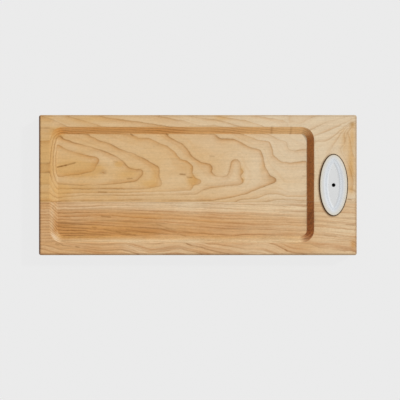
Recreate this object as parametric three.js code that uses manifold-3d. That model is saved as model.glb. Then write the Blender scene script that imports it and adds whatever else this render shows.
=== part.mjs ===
// Wooden serving board with a slope-walled well, and a glazed oval plate let into its right end.
// Millimetres, +Z up, +X along the board towards the plate, +Y towards the far long edge.
// The origin lies under the middle of the board, on the surface that its feet stand on.

import * as THREE from "three";
import { mergeVertices } from "three/addons/utils/BufferGeometryUtils.js";
import Module from "manifold-3d";

// Board, glued up from a wide far stave and a narrow near one
const boardLength = 457;
const boardWidth = 201.5;
const boardThickness = 19;
const boardCornerRadius = 3;
const boardEdgeRound = 2;
const nearStaveWidth = 76.4;

// Well: margins run from the board's edges to the outer line of the eased rim
const wellMarginLeft = 15.4;
const wellMarginRight = 61;
const wellMarginFar = 16.7;
const wellMarginNear = 17.4;
const wellCornerRadius = 19;
const wellDepth = 8;
const wallWidth = 9.4;
const rimEase = 0.8;
const rimEaseDrop = 0.3;

// Oval plate: its long axis lies across the board
const plateLength = 87.8;
const plateWidth = 39.8;
const plateThickness = 5.2;
const plateProud = 1;
const plateEdgeRound = 0.8;
const plateSetback = 33.5;
const plateGap = 0.7;

// Shallow steps on the plate, from its rim inwards
const rimBandWidth = 6.1;
const rimBandDrop = 0.3;
const rimBandSlope = 1.2;
const innerBandWidth = 4;
const innerBandDrop = 0.5;
const innerBandSlope = 1.6;

// Socket in the middle of the plate
const socketDiameter = 5;
const socketLip = 0.4;

// Elastic bed under the plate
const bondThickness = 0.8;
const bondInset = 2.5;
const bondHoleGap = 1;

// Rubber bush under the socket
const bushDiameter = 9;
const bushSeatDepth = 9;
const bushBore = 4.6;
const bushFloor = 1.8;
const bushLeadIn = 0.5;
const bushClearance = 0.3;

// Feet, and the screw in each
const footHeight = 4.5;
const footTopDiameter = 15;
const footBottomDiameter = 13.4;
const footEdge = 0.6;
const footSeatThickness = 1.6;
const footInset = 22;
const screwLength = 9.5;
const screwDiameter = 2.8;
const screwPoint = 2.2;
const screwHeadDiameter = 5.6;
const screwHeadHeight = 1.9;
const screwHeadRound = 0.7;
const driveSlotLength = 3.4;
const driveSlotWidth = 0.9;
const driveSlotDepth = 1.1;
const screwClearance = 0.3;
const pilotSpare = 0.5;

// How far a cut runs past the face that it opens
const overrun = 1;

// Counts of straight pieces that stand for round stretches
const cornerSegments = 5;
const edgeSegments = 4;
const ovalQuarterSegments = 18;
const holeSegments = 24;
const footSegments = 28;
const screwSegments = 16;

// Levels
const boardBottom = footHeight;
const boardTop = boardBottom + boardThickness;
const plateTop = boardTop + plateProud;
const plateBottom = plateTop - plateThickness;
const recessFloor = plateBottom - bondThickness;
const bushBottom = recessFloor - bushSeatDepth;
const footSeat = footHeight - footSeatThickness;

// Places in plan
const boardRight = boardLength / 2;
const boardFar = boardWidth / 2;
const glueLine = nearStaveWidth - boardFar;
const plateX = boardRight - plateSetback;

const wasm = await Module();
wasm.setup();

// Solids and geometries

function toSolid(geometry) {
  const bare = geometry.clone();
  bare.deleteAttribute("normal");
  bare.deleteAttribute("uv");
  const merged = mergeVertices(bare);
  return new wasm.Manifold(
    new wasm.Mesh({
      numProp: 3,
      vertProperties: merged.attributes.position.array,
      triVerts: new Uint32Array(merged.index.array),
    }),
  );
}

function toGeometry(solid) {
  const mesh = solid.getMesh();
  const shared = new THREE.BufferGeometry();
  shared.setAttribute("position", new THREE.BufferAttribute(mesh.vertProperties, 3));
  shared.setIndex(new THREE.BufferAttribute(mesh.triVerts, 1));
  const faceted = shared.toNonIndexed();
  faceted.computeVertexNormals();
  return faceted;
}

function cutAway(geometry, cutters) {
  const cut = cutters.reduce((rest, cutter) => rest.subtract(toSolid(cutter)), toSolid(geometry));
  return toGeometry(cut);
}

// An upright cylinder from one level up to another
function uprightCylinder(radius, bottom, top, segments) {
  const height = top - bottom;
  const cylinder = new THREE.CylinderGeometry(radius, radius, height, segments);
  return cylinder.rotateX(Math.PI / 2).translate(0, 0, bottom + height / 2);
}

// A profile of [radius, level] pairs turned about the upright axis
function turned(profile, segments) {
  const points = profile.map(([radius, level]) => new THREE.Vector2(radius, level));
  return new THREE.LatheGeometry(points, segments).rotateX(Math.PI / 2);
}

// Outlines

function roundedRectangle(left, right, near, far, radius) {
  const outline = new THREE.Shape();
  outline.moveTo(left + radius, near);
  outline.lineTo(right - radius, near);
  outline.absarc(right - radius, near + radius, radius, -Math.PI / 2, 0);
  outline.lineTo(right, far - radius);
  outline.absarc(right - radius, far - radius, radius, 0, Math.PI / 2);
  outline.lineTo(left + radius, far);
  outline.absarc(left + radius, far - radius, radius, Math.PI / 2, Math.PI);
  outline.lineTo(left, near + radius);
  outline.absarc(left + radius, near + radius, radius, Math.PI, 1.5 * Math.PI);
  return outline;
}

// The well's outline, drawn in from its eased rim by the same amount all round
function wellOutline(inset) {
  return roundedRectangle(
    wellMarginLeft - boardRight + inset,
    boardRight - wellMarginRight - inset,
    wellMarginNear - boardFar + inset,
    boardFar - wellMarginFar - inset,
    wellCornerRadius - inset,
  );
}

// A curve that runs beside the plate's oval at a constant inset. Once the inset is larger than
// the oval's tightest bend, the two sides meet in a point at each end, as they do on a lens.
function plateOutline(inset) {
  const long = plateLength / 2;
  const short = plateWidth / 2;
  const spread = long ** 2 - short ** 2;
  const crossing = ((inset * long) / short) ** 2 - short ** 2;
  const lastAngle = inset > 0 && crossing > 0 ? Math.acos(Math.sqrt(crossing / spread)) : Math.PI / 2;
  const quarter = [];
  for (let step = 0; step <= ovalQuarterSegments; step++) {
    const angle = (lastAngle * step) / ovalQuarterSegments;
    const out = new THREE.Vector2(long * Math.cos(angle), short * Math.sin(angle)).normalize();
    const x = short * Math.cos(angle) - inset * out.x;
    const y = long * Math.sin(angle) - inset * out.y;
    quarter.push(new THREE.Vector2(step === ovalQuarterSegments ? 0 : x, y));
  }
  const turnedBack = quarter.slice(0, -1).reverse();
  const left = turnedBack.map((p) => new THREE.Vector2(-p.x, p.y));
  const upper = [...quarter, ...left];
  const lower = upper.slice(1, -1).map((p) => new THREE.Vector2(-p.x, -p.y));
  return new THREE.Shape([...upper, ...lower]);
}

// Staves

function boardBlank() {
  const outline = roundedRectangle(-boardRight, boardRight, -boardFar, boardFar, boardCornerRadius);
  return new THREE.ExtrudeGeometry(outline, {
    depth: boardThickness - 2 * boardEdgeRound,
    bevelThickness: boardEdgeRound,
    bevelSize: boardEdgeRound,
    bevelOffset: -boardEdgeRound,
    bevelSegments: edgeSegments,
    curveSegments: cornerSegments,
  }).translate(0, 0, boardBottom + boardEdgeRound);
}

// A flared cut in the board's top, whose flat floor starts at an inset from the well's rim line
function flaredCutter(floorInset, depth, flare) {
  return new THREE.ExtrudeGeometry(wellOutline(floorInset), {
    depth: overrun,
    bevelThickness: depth,
    bevelSize: flare,
    bevelSegments: 1,
    curveSegments: cornerSegments,
  }).translate(0, 0, boardTop);
}

// The wall slopes straight from the floor up to the foot of the eased rim, and the cut goes on to
// the board's top at the same slope
function wellCutter() {
  const flare = (wallWidth * wellDepth) / (wellDepth - rimEaseDrop);
  return flaredCutter(rimEase + wallWidth, wellDepth, flare);
}

// The rim's ease goes on below its foot at the same slope, inside the space of the well
function rimCutter() {
  return flaredCutter(2 * rimEase, 2 * rimEaseDrop, 2 * rimEase);
}

function recessCutter() {
  return new THREE.ExtrudeGeometry(plateOutline(-plateGap), {
    depth: boardTop - recessFloor + overrun,
    bevelEnabled: false,
  }).translate(plateX, 0, recessFloor);
}

function bushCutter() {
  const radius = bushDiameter / 2 + bushClearance;
  const hole = uprightCylinder(radius, bushBottom, recessFloor + overrun, holeSegments);
  return hole.translate(plateX, 0, 0);
}

const footPlaces = [
  { name: "far_left", x: footInset - boardRight, y: boardFar - footInset },
  { name: "far_right", x: boardRight - footInset, y: boardFar - footInset },
  { name: "near_left", x: footInset - boardRight, y: footInset - boardFar },
  { name: "near_right", x: boardRight - footInset, y: footInset - boardFar },
];

function pilotCutter(place) {
  const radius = screwDiameter / 2 + screwClearance;
  const top = footSeat + screwLength + pilotSpare;
  const hole = uprightCylinder(radius, boardBottom - overrun, top, screwSegments);
  return hole.translate(place.x, place.y, 0);
}

// The part of the board's space that lies on one side of the glue line
function staveSpace(near, far) {
  const length = boardLength + 2 * overrun;
  const height = boardThickness + 2 * overrun;
  const space = new THREE.BoxGeometry(length, far - near, height);
  return space.translate(0, (near + far) / 2, boardBottom + boardThickness / 2);
}

const cutters = [
  wellCutter(),
  rimCutter(),
  recessCutter(),
  bushCutter(),
  ...footPlaces.map(pilotCutter),
];
const wholeBoard = toSolid(cutAway(boardBlank(), cutters));

function stave(near, far) {
  return toGeometry(wholeBoard.intersect(toSolid(staveSpace(near, far))));
}

// Plate and what lies under it

// A shallow flared cut in the plate's top, down to a level. It starts at an inset from the oval's
// edge, and it goes on past the face that it opens at the same slope.
function dishCutter(inset, level, drop, slope) {
  return new THREE.ExtrudeGeometry(plateOutline(inset + slope), {
    depth: overrun,
    bevelThickness: 2 * drop,
    bevelSize: 2 * slope,
    bevelSegments: 1,
  }).translate(0, 0, level + 2 * drop);
}

function socketCutters() {
  const radius = socketDiameter / 2;
  const bore = uprightCylinder(radius, plateBottom - overrun, plateTop + overrun, holeSegments);
  const dishFloor = plateTop - rimBandDrop - innerBandDrop;
  const lipProfile = [
    [0, dishFloor - socketLip - radius],
    [radius + socketLip + overrun, dishFloor + overrun],
    [0, dishFloor + overrun],
  ];
  return [bore, turned(lipProfile, holeSegments)];
}

function ovalPlate() {
  const blank = new THREE.ExtrudeGeometry(plateOutline(0), {
    depth: plateThickness - 2 * plateEdgeRound,
    bevelThickness: plateEdgeRound,
    bevelSize: plateEdgeRound,
    bevelOffset: -plateEdgeRound,
    bevelSegments: edgeSegments,
  }).translate(0, 0, plateBottom + plateEdgeRound);
  const innerInset = rimBandWidth + innerBandWidth;
  const innerDrop = rimBandDrop + innerBandDrop;
  return cutAway(blank, [
    dishCutter(rimBandWidth, plateTop - rimBandDrop, rimBandDrop, rimBandSlope),
    dishCutter(innerInset, plateTop - innerDrop, innerBandDrop, innerBandSlope),
    ...socketCutters(),
  ]);
}

function plateBond() {
  const bed = new THREE.ExtrudeGeometry(plateOutline(bondInset), {
    depth: bondThickness,
    bevelEnabled: false,
  }).translate(0, 0, recessFloor);
  const radius = bushDiameter / 2 + bondHoleGap;
  return cutAway(bed, [
    uprightCylinder(radius, recessFloor - overrun, plateBottom + overrun, holeSegments),
  ]);
}

function socketBush() {
  const radius = bushDiameter / 2;
  const bore = bushBore / 2;
  const boreFloor = bushBottom + bushFloor;
  const profile = [
    [0, bushBottom],
    [radius, bushBottom],
    [radius, plateBottom],
    [bore + bushLeadIn, plateBottom],
    [bore, plateBottom - bushLeadIn],
    [bore, boreFloor],
    [0, boreFloor],
  ];
  return turned(profile, holeSegments);
}

// Feet

function foot() {
  const topRadius = footTopDiameter / 2;
  const bottomRadius = footBottomDiameter / 2;
  const headHole = screwHeadDiameter / 2 + screwClearance;
  const shankHole = screwDiameter / 2 + screwClearance;
  const profile = [
    [headHole, 0],
    [bottomRadius - footEdge, 0],
    [bottomRadius, footEdge],
    [topRadius, footHeight],
    [shankHole, footHeight],
    [shankHole, footSeat],
    [headHole, footSeat],
    [headHole, 0],
  ];
  return turned(profile, footSegments);
}

function footScrew() {
  const headRadius = screwHeadDiameter / 2;
  const shankRadius = screwDiameter / 2;
  const headBottom = footSeat - screwHeadHeight;
  const tip = footSeat + screwLength;
  const profile = [
    [0, headBottom],
    [headRadius - screwHeadRound, headBottom],
    [headRadius, headBottom + screwHeadRound],
    [headRadius, footSeat],
    [shankRadius, footSeat],
    [shankRadius, tip - screwPoint],
    [0, tip],
  ];
  const slotHeight = driveSlotDepth + overrun;
  const slotMiddle = headBottom + driveSlotDepth - slotHeight / 2;
  const slots = [
    new THREE.BoxGeometry(driveSlotLength, driveSlotWidth, slotHeight),
    new THREE.BoxGeometry(driveSlotWidth, driveSlotLength, slotHeight),
  ];
  return cutAway(
    turned(profile, screwSegments),
    slots.map((slot) => slot.translate(0, 0, slotMiddle)),
  );
}

// Materials, one for each finish

const maple = new THREE.MeshStandardMaterial({ color: 0xd6b083, roughness: 0.55, metalness: 0 });
const pinkMaple = new THREE.MeshStandardMaterial({ color: 0xc99a68, roughness: 0.55, metalness: 0 });
const glaze = new THREE.MeshStandardMaterial({ color: 0xe2e3e4, roughness: 0.15, metalness: 0 });
const silicone = new THREE.MeshStandardMaterial({ color: 0xc9c9c4, roughness: 0.6, metalness: 0 });
const blackRubber = new THREE.MeshStandardMaterial({ color: 0x161616, roughness: 0.8, metalness: 0 });
const greyRubber = new THREE.MeshStandardMaterial({ color: 0x3a3a3a, roughness: 0.85, metalness: 0 });
const steel = new THREE.MeshStandardMaterial({ color: 0xb4b6b9, roughness: 0.35, metalness: 1 });

// Assembly

function piece(name, geometry, material) {
  const mesh = new THREE.Mesh(geometry, material);
  mesh.name = name;
  return mesh;
}

const servingBoard = new THREE.Group();
servingBoard.add(piece("stave_wide", stave(glueLine, boardFar + overrun), maple));
servingBoard.add(piece("stave_narrow", stave(-boardFar - overrun, glueLine), pinkMaple));

const plateGroup = new THREE.Group();
plateGroup.position.set(plateX, 0, 0);
plateGroup.add(piece("oval_plate", ovalPlate(), glaze));
plateGroup.add(piece("plate_bond", plateBond(), silicone));
plateGroup.add(piece("socket_bush", socketBush(), blackRubber));
servingBoard.add(plateGroup);

for (const place of footPlaces) {
  const footGroup = new THREE.Group();
  footGroup.position.set(place.x, place.y, 0);
  footGroup.add(piece(`foot_${place.name}`, foot(), greyRubber));
  footGroup.add(piece(`foot_screw_${place.name}`, footScrew(), steel));
  servingBoard.add(footGroup);
}

export default servingBoard;
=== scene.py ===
"""Looks of a wooden serving board with a slope-walled well and a glazed oval plate.

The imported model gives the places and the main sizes. The operators make the two staves with their
growth lines, the plate, the socket's bush, the feet, the screws and the stage, in metres.
"""

import math

import bmesh
import bpy
import numpy as np
from bpy.props import FloatProperty, FloatVectorProperty, IntProperty, PointerProperty
from mathutils import Matrix, Vector
from mathutils.geometry import delaunay_2d_cdt


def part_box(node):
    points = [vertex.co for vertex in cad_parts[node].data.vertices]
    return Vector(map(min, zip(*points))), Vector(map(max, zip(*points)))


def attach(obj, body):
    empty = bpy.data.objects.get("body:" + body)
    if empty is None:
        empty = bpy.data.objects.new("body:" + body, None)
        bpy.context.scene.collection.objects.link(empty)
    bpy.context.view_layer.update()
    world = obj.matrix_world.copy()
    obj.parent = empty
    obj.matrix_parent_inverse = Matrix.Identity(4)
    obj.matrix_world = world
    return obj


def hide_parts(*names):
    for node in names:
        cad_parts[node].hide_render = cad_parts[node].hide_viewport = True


bl_info = {
    "name": "Serving board",
    "version": (1, 0, 0),
    "blender": (4, 5, 0),
    "location": "3D View > Sidebar > Serving Board",
    "description": "Makes a maple serving board with a slope-walled well and a glazed oval plate",
    "category": "Add Mesh",
}

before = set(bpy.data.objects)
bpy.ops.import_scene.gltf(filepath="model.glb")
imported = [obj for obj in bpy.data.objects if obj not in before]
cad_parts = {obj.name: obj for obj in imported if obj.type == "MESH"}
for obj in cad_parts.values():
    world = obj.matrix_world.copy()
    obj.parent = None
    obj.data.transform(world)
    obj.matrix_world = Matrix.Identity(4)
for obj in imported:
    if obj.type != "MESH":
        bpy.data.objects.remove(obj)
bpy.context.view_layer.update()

# A millimetre in metres, the centimetres in a metre, a distance that counts as none on a piece, and the
# distance under which two points of a mesh are one
MM = 0.001
CENTIMETRES = 100
NEAR_ZERO = 0.01 * MM
SAME_POINT = 1e-8

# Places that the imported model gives
wide_low, wide_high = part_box("stave_wide")
narrow_low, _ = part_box("stave_narrow")
plate_low, plate_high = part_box("oval_plate")
bond_low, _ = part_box("plate_bond")
bush_low, bush_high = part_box("socket_bush")
foot_low, foot_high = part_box("foot_far_right")
screw_low, screw_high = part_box("foot_screw_far_right")
board_top = wide_high.z
board_bottom = wide_low.z
glue_line = wide_low.y
plate_x = (plate_low.x + plate_high.x) / 2
plate_half = ((plate_high.x - plate_low.x) / 2, (plate_high.y - plate_low.y) / 2)
bush_radius = (bush_high.x - bush_low.x) / 2
head_radius = (screw_high.x - screw_low.x) / 2
foot_x = (foot_low.x + foot_high.x) / 2
foot_y = (foot_low.y + foot_high.y) / 2

# Pixels of the photograph: how many the board is long, and the one over its middle
BOARD_PIXELS = 317.7
MIDDLE_PIXEL = (197.85, 185.1)
FRAME_PIXELS = 400
PIXEL = (wide_high.x - wide_low.x) / BOARD_PIXELS

CORNERS = ("far_left", "far_right", "near_left", "near_right")


def linear(red, green, blue):
    """A colour written as 0 to 255 per channel, in the linear values that shaders take"""
    shares = [channel / 255 for channel in (red, green, blue)]
    return [s / 12.92 if s <= 0.04045 else ((s + 0.055) / 1.055) ** 2.4 for s in shares]


def length(name, default, description):
    """A size that the panel can change, given in millimetres"""
    default = default * MM
    return FloatProperty(name=name, description=description, default=default, unit="LENGTH", precision=4)


def degrees(name, default, description):
    """An angle that the panel can change, given in degrees"""
    default = math.radians(default)
    return FloatProperty(name=name, description=description, default=default, subtype="ANGLE")


def share(name, default, description):
    """A strength from none to full"""
    return FloatProperty(name=name, description=description, default=default, min=0, max=1)


def colour(name, red, green, blue, description):
    """A colour that the panel can change"""
    return FloatVectorProperty(
        name=name,
        description=description,
        default=linear(red, green, blue),
        subtype="COLOR",
        min=0,
        max=1,
    )


def tint(name, red, green, blue, description):
    """Factors that darken or lighten red, green and blue"""
    return FloatVectorProperty(name=name, description=description, default=(red, green, blue), min=0, max=2)


# Sizes and colours that a user would change


class BoardSizes(bpy.types.PropertyGroup):
    """Sizes of the wooden board and its well"""

    corner_radius: length("Corner radius", 3, "Radius of the board's corners in plan")
    edge_round: length("Edge round", 2, "Radius of the round along the board's edges")
    margin_left: length("Left margin", 15.4, "From the board's left end to the well")
    margin_right: length("Right margin", 61, "From the well to the board's right end")
    margin_far: length("Far margin", 16.7, "From the board's far edge to the well")
    margin_near: length("Near margin", 17.4, "From the board's near edge to the well")
    well_corner: length("Well corner", 19, "Radius of the well's corners at its rim")
    well_depth: length("Well depth", 8, "From the board's top down to the well's floor")
    wall_width: length("Wall width", 9.4, "How far the sloping wall reaches into the well")
    rim_ease: length("Rim ease", 0.8, "Width of the eased corner along the well's rim")
    rim_ease_drop: length("Rim ease drop", 0.3, "Height of the eased corner along the well's rim")
    foot_round: length("Wall foot round", 1, "Reach of the round where the wall meets the floor")
    recess_gap: length("Recess gap", 0.7, "Room between the plate and the wood around it")
    recess_ease: length("Recess ease", 0.25, "Width of the eased corner of the plate's recess")
    # Painted shadow: the dark line is the plate's shadow on the wood around the recess, and the shade in the
    # gap
    recess_shadow: length("Recess stain", 1.3, "Width of the dark line in the wood around the recess")
    bush_room: length("Bush room", 0.3, "Room around the socket's bush")
    pilot_room: length("Pilot room", 0.3, "Room around each foot screw's shank")
    pilot_spare: length("Pilot spare", 0.5, "Depth of each pilot hole past the screw's tip")
    mesh_step: length("Mesh step", 1.4, "Distance between the points of the wood's top face")
    under_step: length("Underside step", 3, "Distance between the points of the underside")


class PlateSizes(bpy.types.PropertyGroup):
    """Sizes of the glazed oval plate, its socket and the rubber bush below"""

    edge_round: length("Edge round", 0.8, "Radius of the round along the plate's edges")
    rim_band: length("Rim band", 6.1, "Width of the flat band along the plate's rim")
    rim_drop: length("Rim drop", 0.3, "Height of the step inside the rim band")
    rim_slope: length("Rim slope", 1.8, "Width of the step inside the rim band")
    inner_band: length("Inner band", 4, "From the first step's start to the second's")
    inner_drop: length("Inner drop", 0.5, "Height of the step down to the middle")
    inner_slope: length("Inner slope", 2.4, "Width of the step down to the middle")
    socket_radius: length("Socket radius", 2.5, "Radius of the hole in the plate's middle")
    socket_lip: length("Socket lip", 0.25, "Width of the rounded lip around the hole")
    bush_bore: length("Bush bore", 2.3, "Radius of the bore that grips a stem")
    bush_floor: length("Bush floor", 1.8, "Thickness of the bush's closed end")
    bush_lead: length("Bush lead-in", 0.5, "Width of the slope at the bush's mouth")
    bush_rib: length("Bush rib", 0.15, "Height of the grip ribs inside the bush")
    bush_ribs: IntProperty(name="Bush ribs", description="How many grip ribs", default=4, min=1)


class FixingSizes(bpy.types.PropertyGroup):
    """Sizes of the feet and their screws"""

    foot_edge: length("Foot edge", 0.6, "Round along the foot's lower edge")
    foot_under: length("Foot underside", 6.7, "Radius of the foot just above its lower edge")
    foot_seat: length("Foot seat", 1.6, "Rubber between the screw's head and the board")
    head_room: length("Head room", 0.3, "Room around the screw's head")
    groove_depth: length("Groove depth", 0.25, "Depth of the rings on the foot's underside")
    head_height: length("Head height", 1.9, "Height of the screw's head")
    head_round: length("Head round", 0.7, "Round of the screw's head")
    shank_radius: length("Shank radius", 1.4, "Outer radius of the screw's thread")
    thread_depth: length("Thread depth", 0.35, "Depth of the screw's thread")
    thread_pitch: length("Thread pitch", 1.1, "Distance from one turn of the thread to the next")
    point: length("Point", 2.2, "Length of the screw's tapered point")
    slot_length: length("Slot length", 3.4, "Length of each slot of the drive cross")
    slot_width: length("Slot width", 0.9, "Width of each slot of the drive cross")
    slot_depth: length("Slot depth", 1.1, "Depth of the drive cross")


class WoodColours(bpy.types.PropertyGroup):
    """Colours and strengths of the wood's figure"""

    pale: colour("Pale wood", 221, 199, 166, "Early wood of the wide stave")
    tan: colour("Tan wood", 211, 168, 107, "Warm wood near the heart and at the left end")
    late: colour("Late wood", 193, 134, 62, "Fade before each growth line")
    line: colour("Growth line", 148, 102, 50, "Growth lines of the wide stave")
    near_pale: colour("Near pale wood", 226, 201, 163, "Light bands of the narrow stave")
    near_tan: colour("Near tan wood", 204, 150, 86, "Pinker wood of the narrow stave")
    near_late: colour("Near late wood", 177, 116, 60, "Fade before the narrow stave's growth lines")
    near_line: colour("Near growth line", 128, 82, 26, "Growth lines of the narrow stave")
    fleck: colour("Fleck", 130, 80, 2, "Short dark marks in the wood")
    end: colour("End grain", 222, 208, 198, "Tint of the cut ends of the fibres")
    line_strength: share("Line strength", 1, "How strongly the growth lines show")
    late_strength: share("Late wood strength", 0.9, "How strongly the fade before a line shows")
    fibre_strength: share("Fibre strength", 0.32, "How strongly the fine streaks show")
    mottle_strength: share("Mottle strength", 0.27, "How strongly the fine mottling shows")
    streak_strength: share("Streak strength", 0.75, "How strongly the narrow stave's dark streaks show")
    # Painted light and shade: each wall of the well gets its own shaded copy of the wood, darkest on the
    # right wall, which faces away from the light, and lightest on the near wall, which faces it
    left_wall_shading: tint("Left wall", 0.86, 0.87, 0.84, "Change of colour on the well's left wall")
    right_wall_shade: tint("Right wall", 0.578, 0.25, 0.06, "Change of colour on the well's right wall")
    far_wall_shading: tint("Far wall", 1.19, 0.95, 0.64, "Change of colour on the well's far wall")
    near_wall_light: tint("Near wall", 1.05, 1.13, 1.17, "Change of colour on the well's near wall")
    # Painted shade: the tint where the rounds of the board's edges turn away from the light, also used for
    # the painted shadow around the plate's recess
    edge: tint("Outer edge", 0.22, 0.145, 0.075, "Change of the wood's colour where an edge is darkest")


class PieceColours(bpy.types.PropertyGroup):
    """Colours of the pieces that aren't wood"""

    glaze: colour("Glaze", 217, 218, 218, "White glaze of the oval plate")
    # Painted shade: the socket's lip and hole are coloured black, as the shade deep in the hole
    socket: colour("Socket", 8, 8, 8, "Black glaze inside the plate's socket")
    # The plate's edge colour is partly its unglazed brown edge and partly painted shade on the side away
    # from the light
    plate_edge_brown_and_shade: colour("Plate rim", 112, 82, 52, "Bare brown edge of the oval plate")
    silicone: colour("Silicone", 196, 196, 190, "Elastic bed under the plate")
    bush: colour("Bush rubber", 20, 20, 20, "Black rubber in the socket")
    foot: colour("Foot rubber", 58, 58, 58, "Grey rubber of the feet")
    steel: colour("Steel", 182, 184, 187, "Plated steel of the screws")
    # Painted reflection: a warm reflection of the wood on the glaze along the plate's rim
    wood_reflection: tint("Thin glaze", 1, 0.91, 0.75, "Change of the glaze's colour where it is thin")
    pooled_glaze: tint("Pooled glaze", 0.96, 0.99, 1.03, "Change of the glaze's colour where it pools")


class StageLook(bpy.types.PropertyGroup):
    """Floor, light and camera"""

    backdrop: colour("Backdrop", 235, 235, 235, "Floor and backdrop, as the camera sees them")
    floor_size: length("Floor size", 8000, "Side of the square floor")
    shadow: share("Shadow", 0.05, "Share of the floor's paleness that the light gives")
    gap_reach: length("Gap reach", 30, "How far the shade in the gap under the board reaches")
    gap_shade: share("Gap shade", 0.3, "Paleness that is left where that shade is deepest")
    key_light: FloatProperty(name="Key light", description="Strength of the key light", default=2.2)
    key_turn: degrees("Key turn", 30, "Direction of the key light, from the right towards the far side")
    key_height: degrees("Key height", 34, "Angle of the key light above the floor")
    key_softness: degrees("Key softness", 4, "Angle that the key light spans")
    fill_light: share("Fill light", 0.59, "Strength of the light from all round")
    camera_x: IntProperty(name="Camera column", description="Pixel below the camera", default=200)
    camera_y: IntProperty(name="Camera row", description="Pixel below the camera", default=200)
    lens: FloatProperty(name="Lens", description="Focal length in millimetres", default=100)


# Wiring of nodes


class Wiring:
    """Adds nodes to a tree. An input is a number, a colour or another node's output."""

    def __init__(self, tree):
        self.tree = tree

    def add(self, kind, inputs=None, **settings):
        """One node, with its settings and inputs"""
        node = self.tree.nodes.new(kind)
        for name, setting in settings.items():
            setattr(node, name, setting)
        for key, source in (inputs or {}).items():
            if isinstance(source, bpy.types.NodeSocket):
                self.tree.links.new(source, node.inputs[key])
            else:
                node.inputs[key].default_value = source
        return node

    def math(self, operation, *sources, clamp=False):
        """The result of a Math node"""
        inputs = dict(enumerate(sources))
        return self.add("ShaderNodeMath", inputs, operation=operation, use_clamp=clamp).outputs[0]

    def plus(self, first, second, clamp=False):
        """A sum"""
        return self.math("ADD", first, second, clamp=clamp)

    def minus(self, first, second):
        """A difference"""
        return self.math("SUBTRACT", first, second)

    def times(self, first, second, clamp=False):
        """A product"""
        return self.math("MULTIPLY", first, second, clamp=clamp)

    def over(self, first, second):
        """A quotient"""
        return self.math("DIVIDE", first, second)

    def fading(self, distance, reach):
        """One at no distance, and about a third as much with each reach further"""
        return self.math("EXPONENT", self.over(self.times(distance, -1), reach))

    def fit(self, value, low, high, new_low, new_high):
        """A value moved from one range to another, and kept inside it"""
        inputs = {"Value": value, "From Min": low, "From Max": high, "To Min": new_low, "To Max": new_high}
        return self.add("ShaderNodeMapRange", inputs).outputs[0]

    def axis(self, place, name):
        """One of the three numbers of a place or a direction"""
        return self.add("ShaderNodeSeparateXYZ", {0: place}).outputs[name]

    def blend(self, factor, first, second, blend_type="MIX"):
        """A colour between two others"""
        inputs = {0: factor}
        for key, source in ((6, first), (7, second)):
            inputs[key] = source if isinstance(source, bpy.types.NodeSocket) else [*source, 1]
        node = self.add("ShaderNodeMix", inputs, data_type="RGBA", blend_type=blend_type)
        return node.outputs[2]

    def tinted(self, tone, change, factor=1):
        """A colour times another"""
        return self.blend(factor, tone, change, "MULTIPLY")

    def attribute(self, name):
        """A number that is kept at each point of the mesh"""
        return self.add("ShaderNodeAttribute", attribute_name=name).outputs["Fac"]

    def place(self):
        """Where a point of the surface is, in the piece's own metres"""
        return self.add("ShaderNodeTexCoord").outputs["Object"]

    def noise(self, place, grains, detail=2, roughness=0.5):
        """Noise with so many grains to the metre: one count, or one for each axis"""
        grains = grains if isinstance(grains, tuple) else (grains,) * 3
        scaled = self.add("ShaderNodeVectorMath", {0: place, 1: grains}, operation="MULTIPLY").outputs[0]
        inputs = {"Vector": scaled, "Scale": 1, "Detail": detail, "Roughness": roughness}
        return self.add("ShaderNodeTexNoise", inputs).outputs["Fac"]

    def chance(self, number):
        """A steady random number from 0 to 1 for each whole number"""
        inputs = {"W": number}
        return self.add("ShaderNodeTexWhiteNoise", inputs, noise_dimensions="1D").outputs["Value"]


def new_material(name, **settings):
    """A material with one Principled shader: returns it, its wiring and the shader"""
    material = bpy.data.materials.new(name)
    material.use_nodes = True
    wiring = Wiring(material.node_tree)
    shader = material.node_tree.nodes["Principled BSDF"]
    for key, setting in settings.items():
        shader.inputs[key.replace("_", " ")].default_value = setting
    return material, wiring, shader


def finish_surface(wiring, shader, tone, height, relief, rough=None):
    """Joins a colour and a fine relief to a shader, and a roughness where it varies. The relief is
    the height's full reach in metres."""
    bump = wiring.add("ShaderNodeBump", {"Height": height, "Strength": 1, "Distance": relief})
    wiring.tree.links.new(tone, shader.inputs["Base Color"])
    wiring.tree.links.new(bump.outputs[0], shader.inputs["Normal"])
    if rough is not None:
        wiring.tree.links.new(rough, shader.inputs["Roughness"])


def dimmed(base, part, lift=0):
    """A darker shade of a colour"""
    return [part * channel + lift for channel in base]


# Materials


# Noises of the wood: grains to the metre along the board, across it and upwards, detail, roughness
WOOD_NOISES = {
    "waver": ((80, 170, 170), 4, 0.66),
    "clearness": ((22, 30, 30), 2, 0.5),
    "drift": ((16, 34, 34), 3, 0.5),
    "coarse fibres": ((14, 420, 420), 3, 0.6),
    "fine fibres": ((45, 1500, 1500), 2, 0.6),
    "mottle": ((330, 420, 420), 2, 0.6),
    "tiny flecks": ((150, 900, 900), 1, 0.5),
    "pores": ((60, 1300, 1300), 1, 0.5),
}

# The same of the streaks that follow the growth lines: grains along the board, then across the lines
STREAK_NOISE = ((9, 3.4, 1), 4, 0.65)

# Millimetres that a growth line wavers by, and the widths of a line and of the late wood before it:
# a share of the way to the next line, and the most in millimetres
LINE_WAVER = 3.1
LINE_WIDTH = (0.18, 0.85)
LATE_WIDTH = (0.3, 4)

# How far the glue line's dark shows to each side, and how strongly
GLUE_REACH = 0.3 * MM
GLUE_STRENGTH = 0.45


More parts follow.
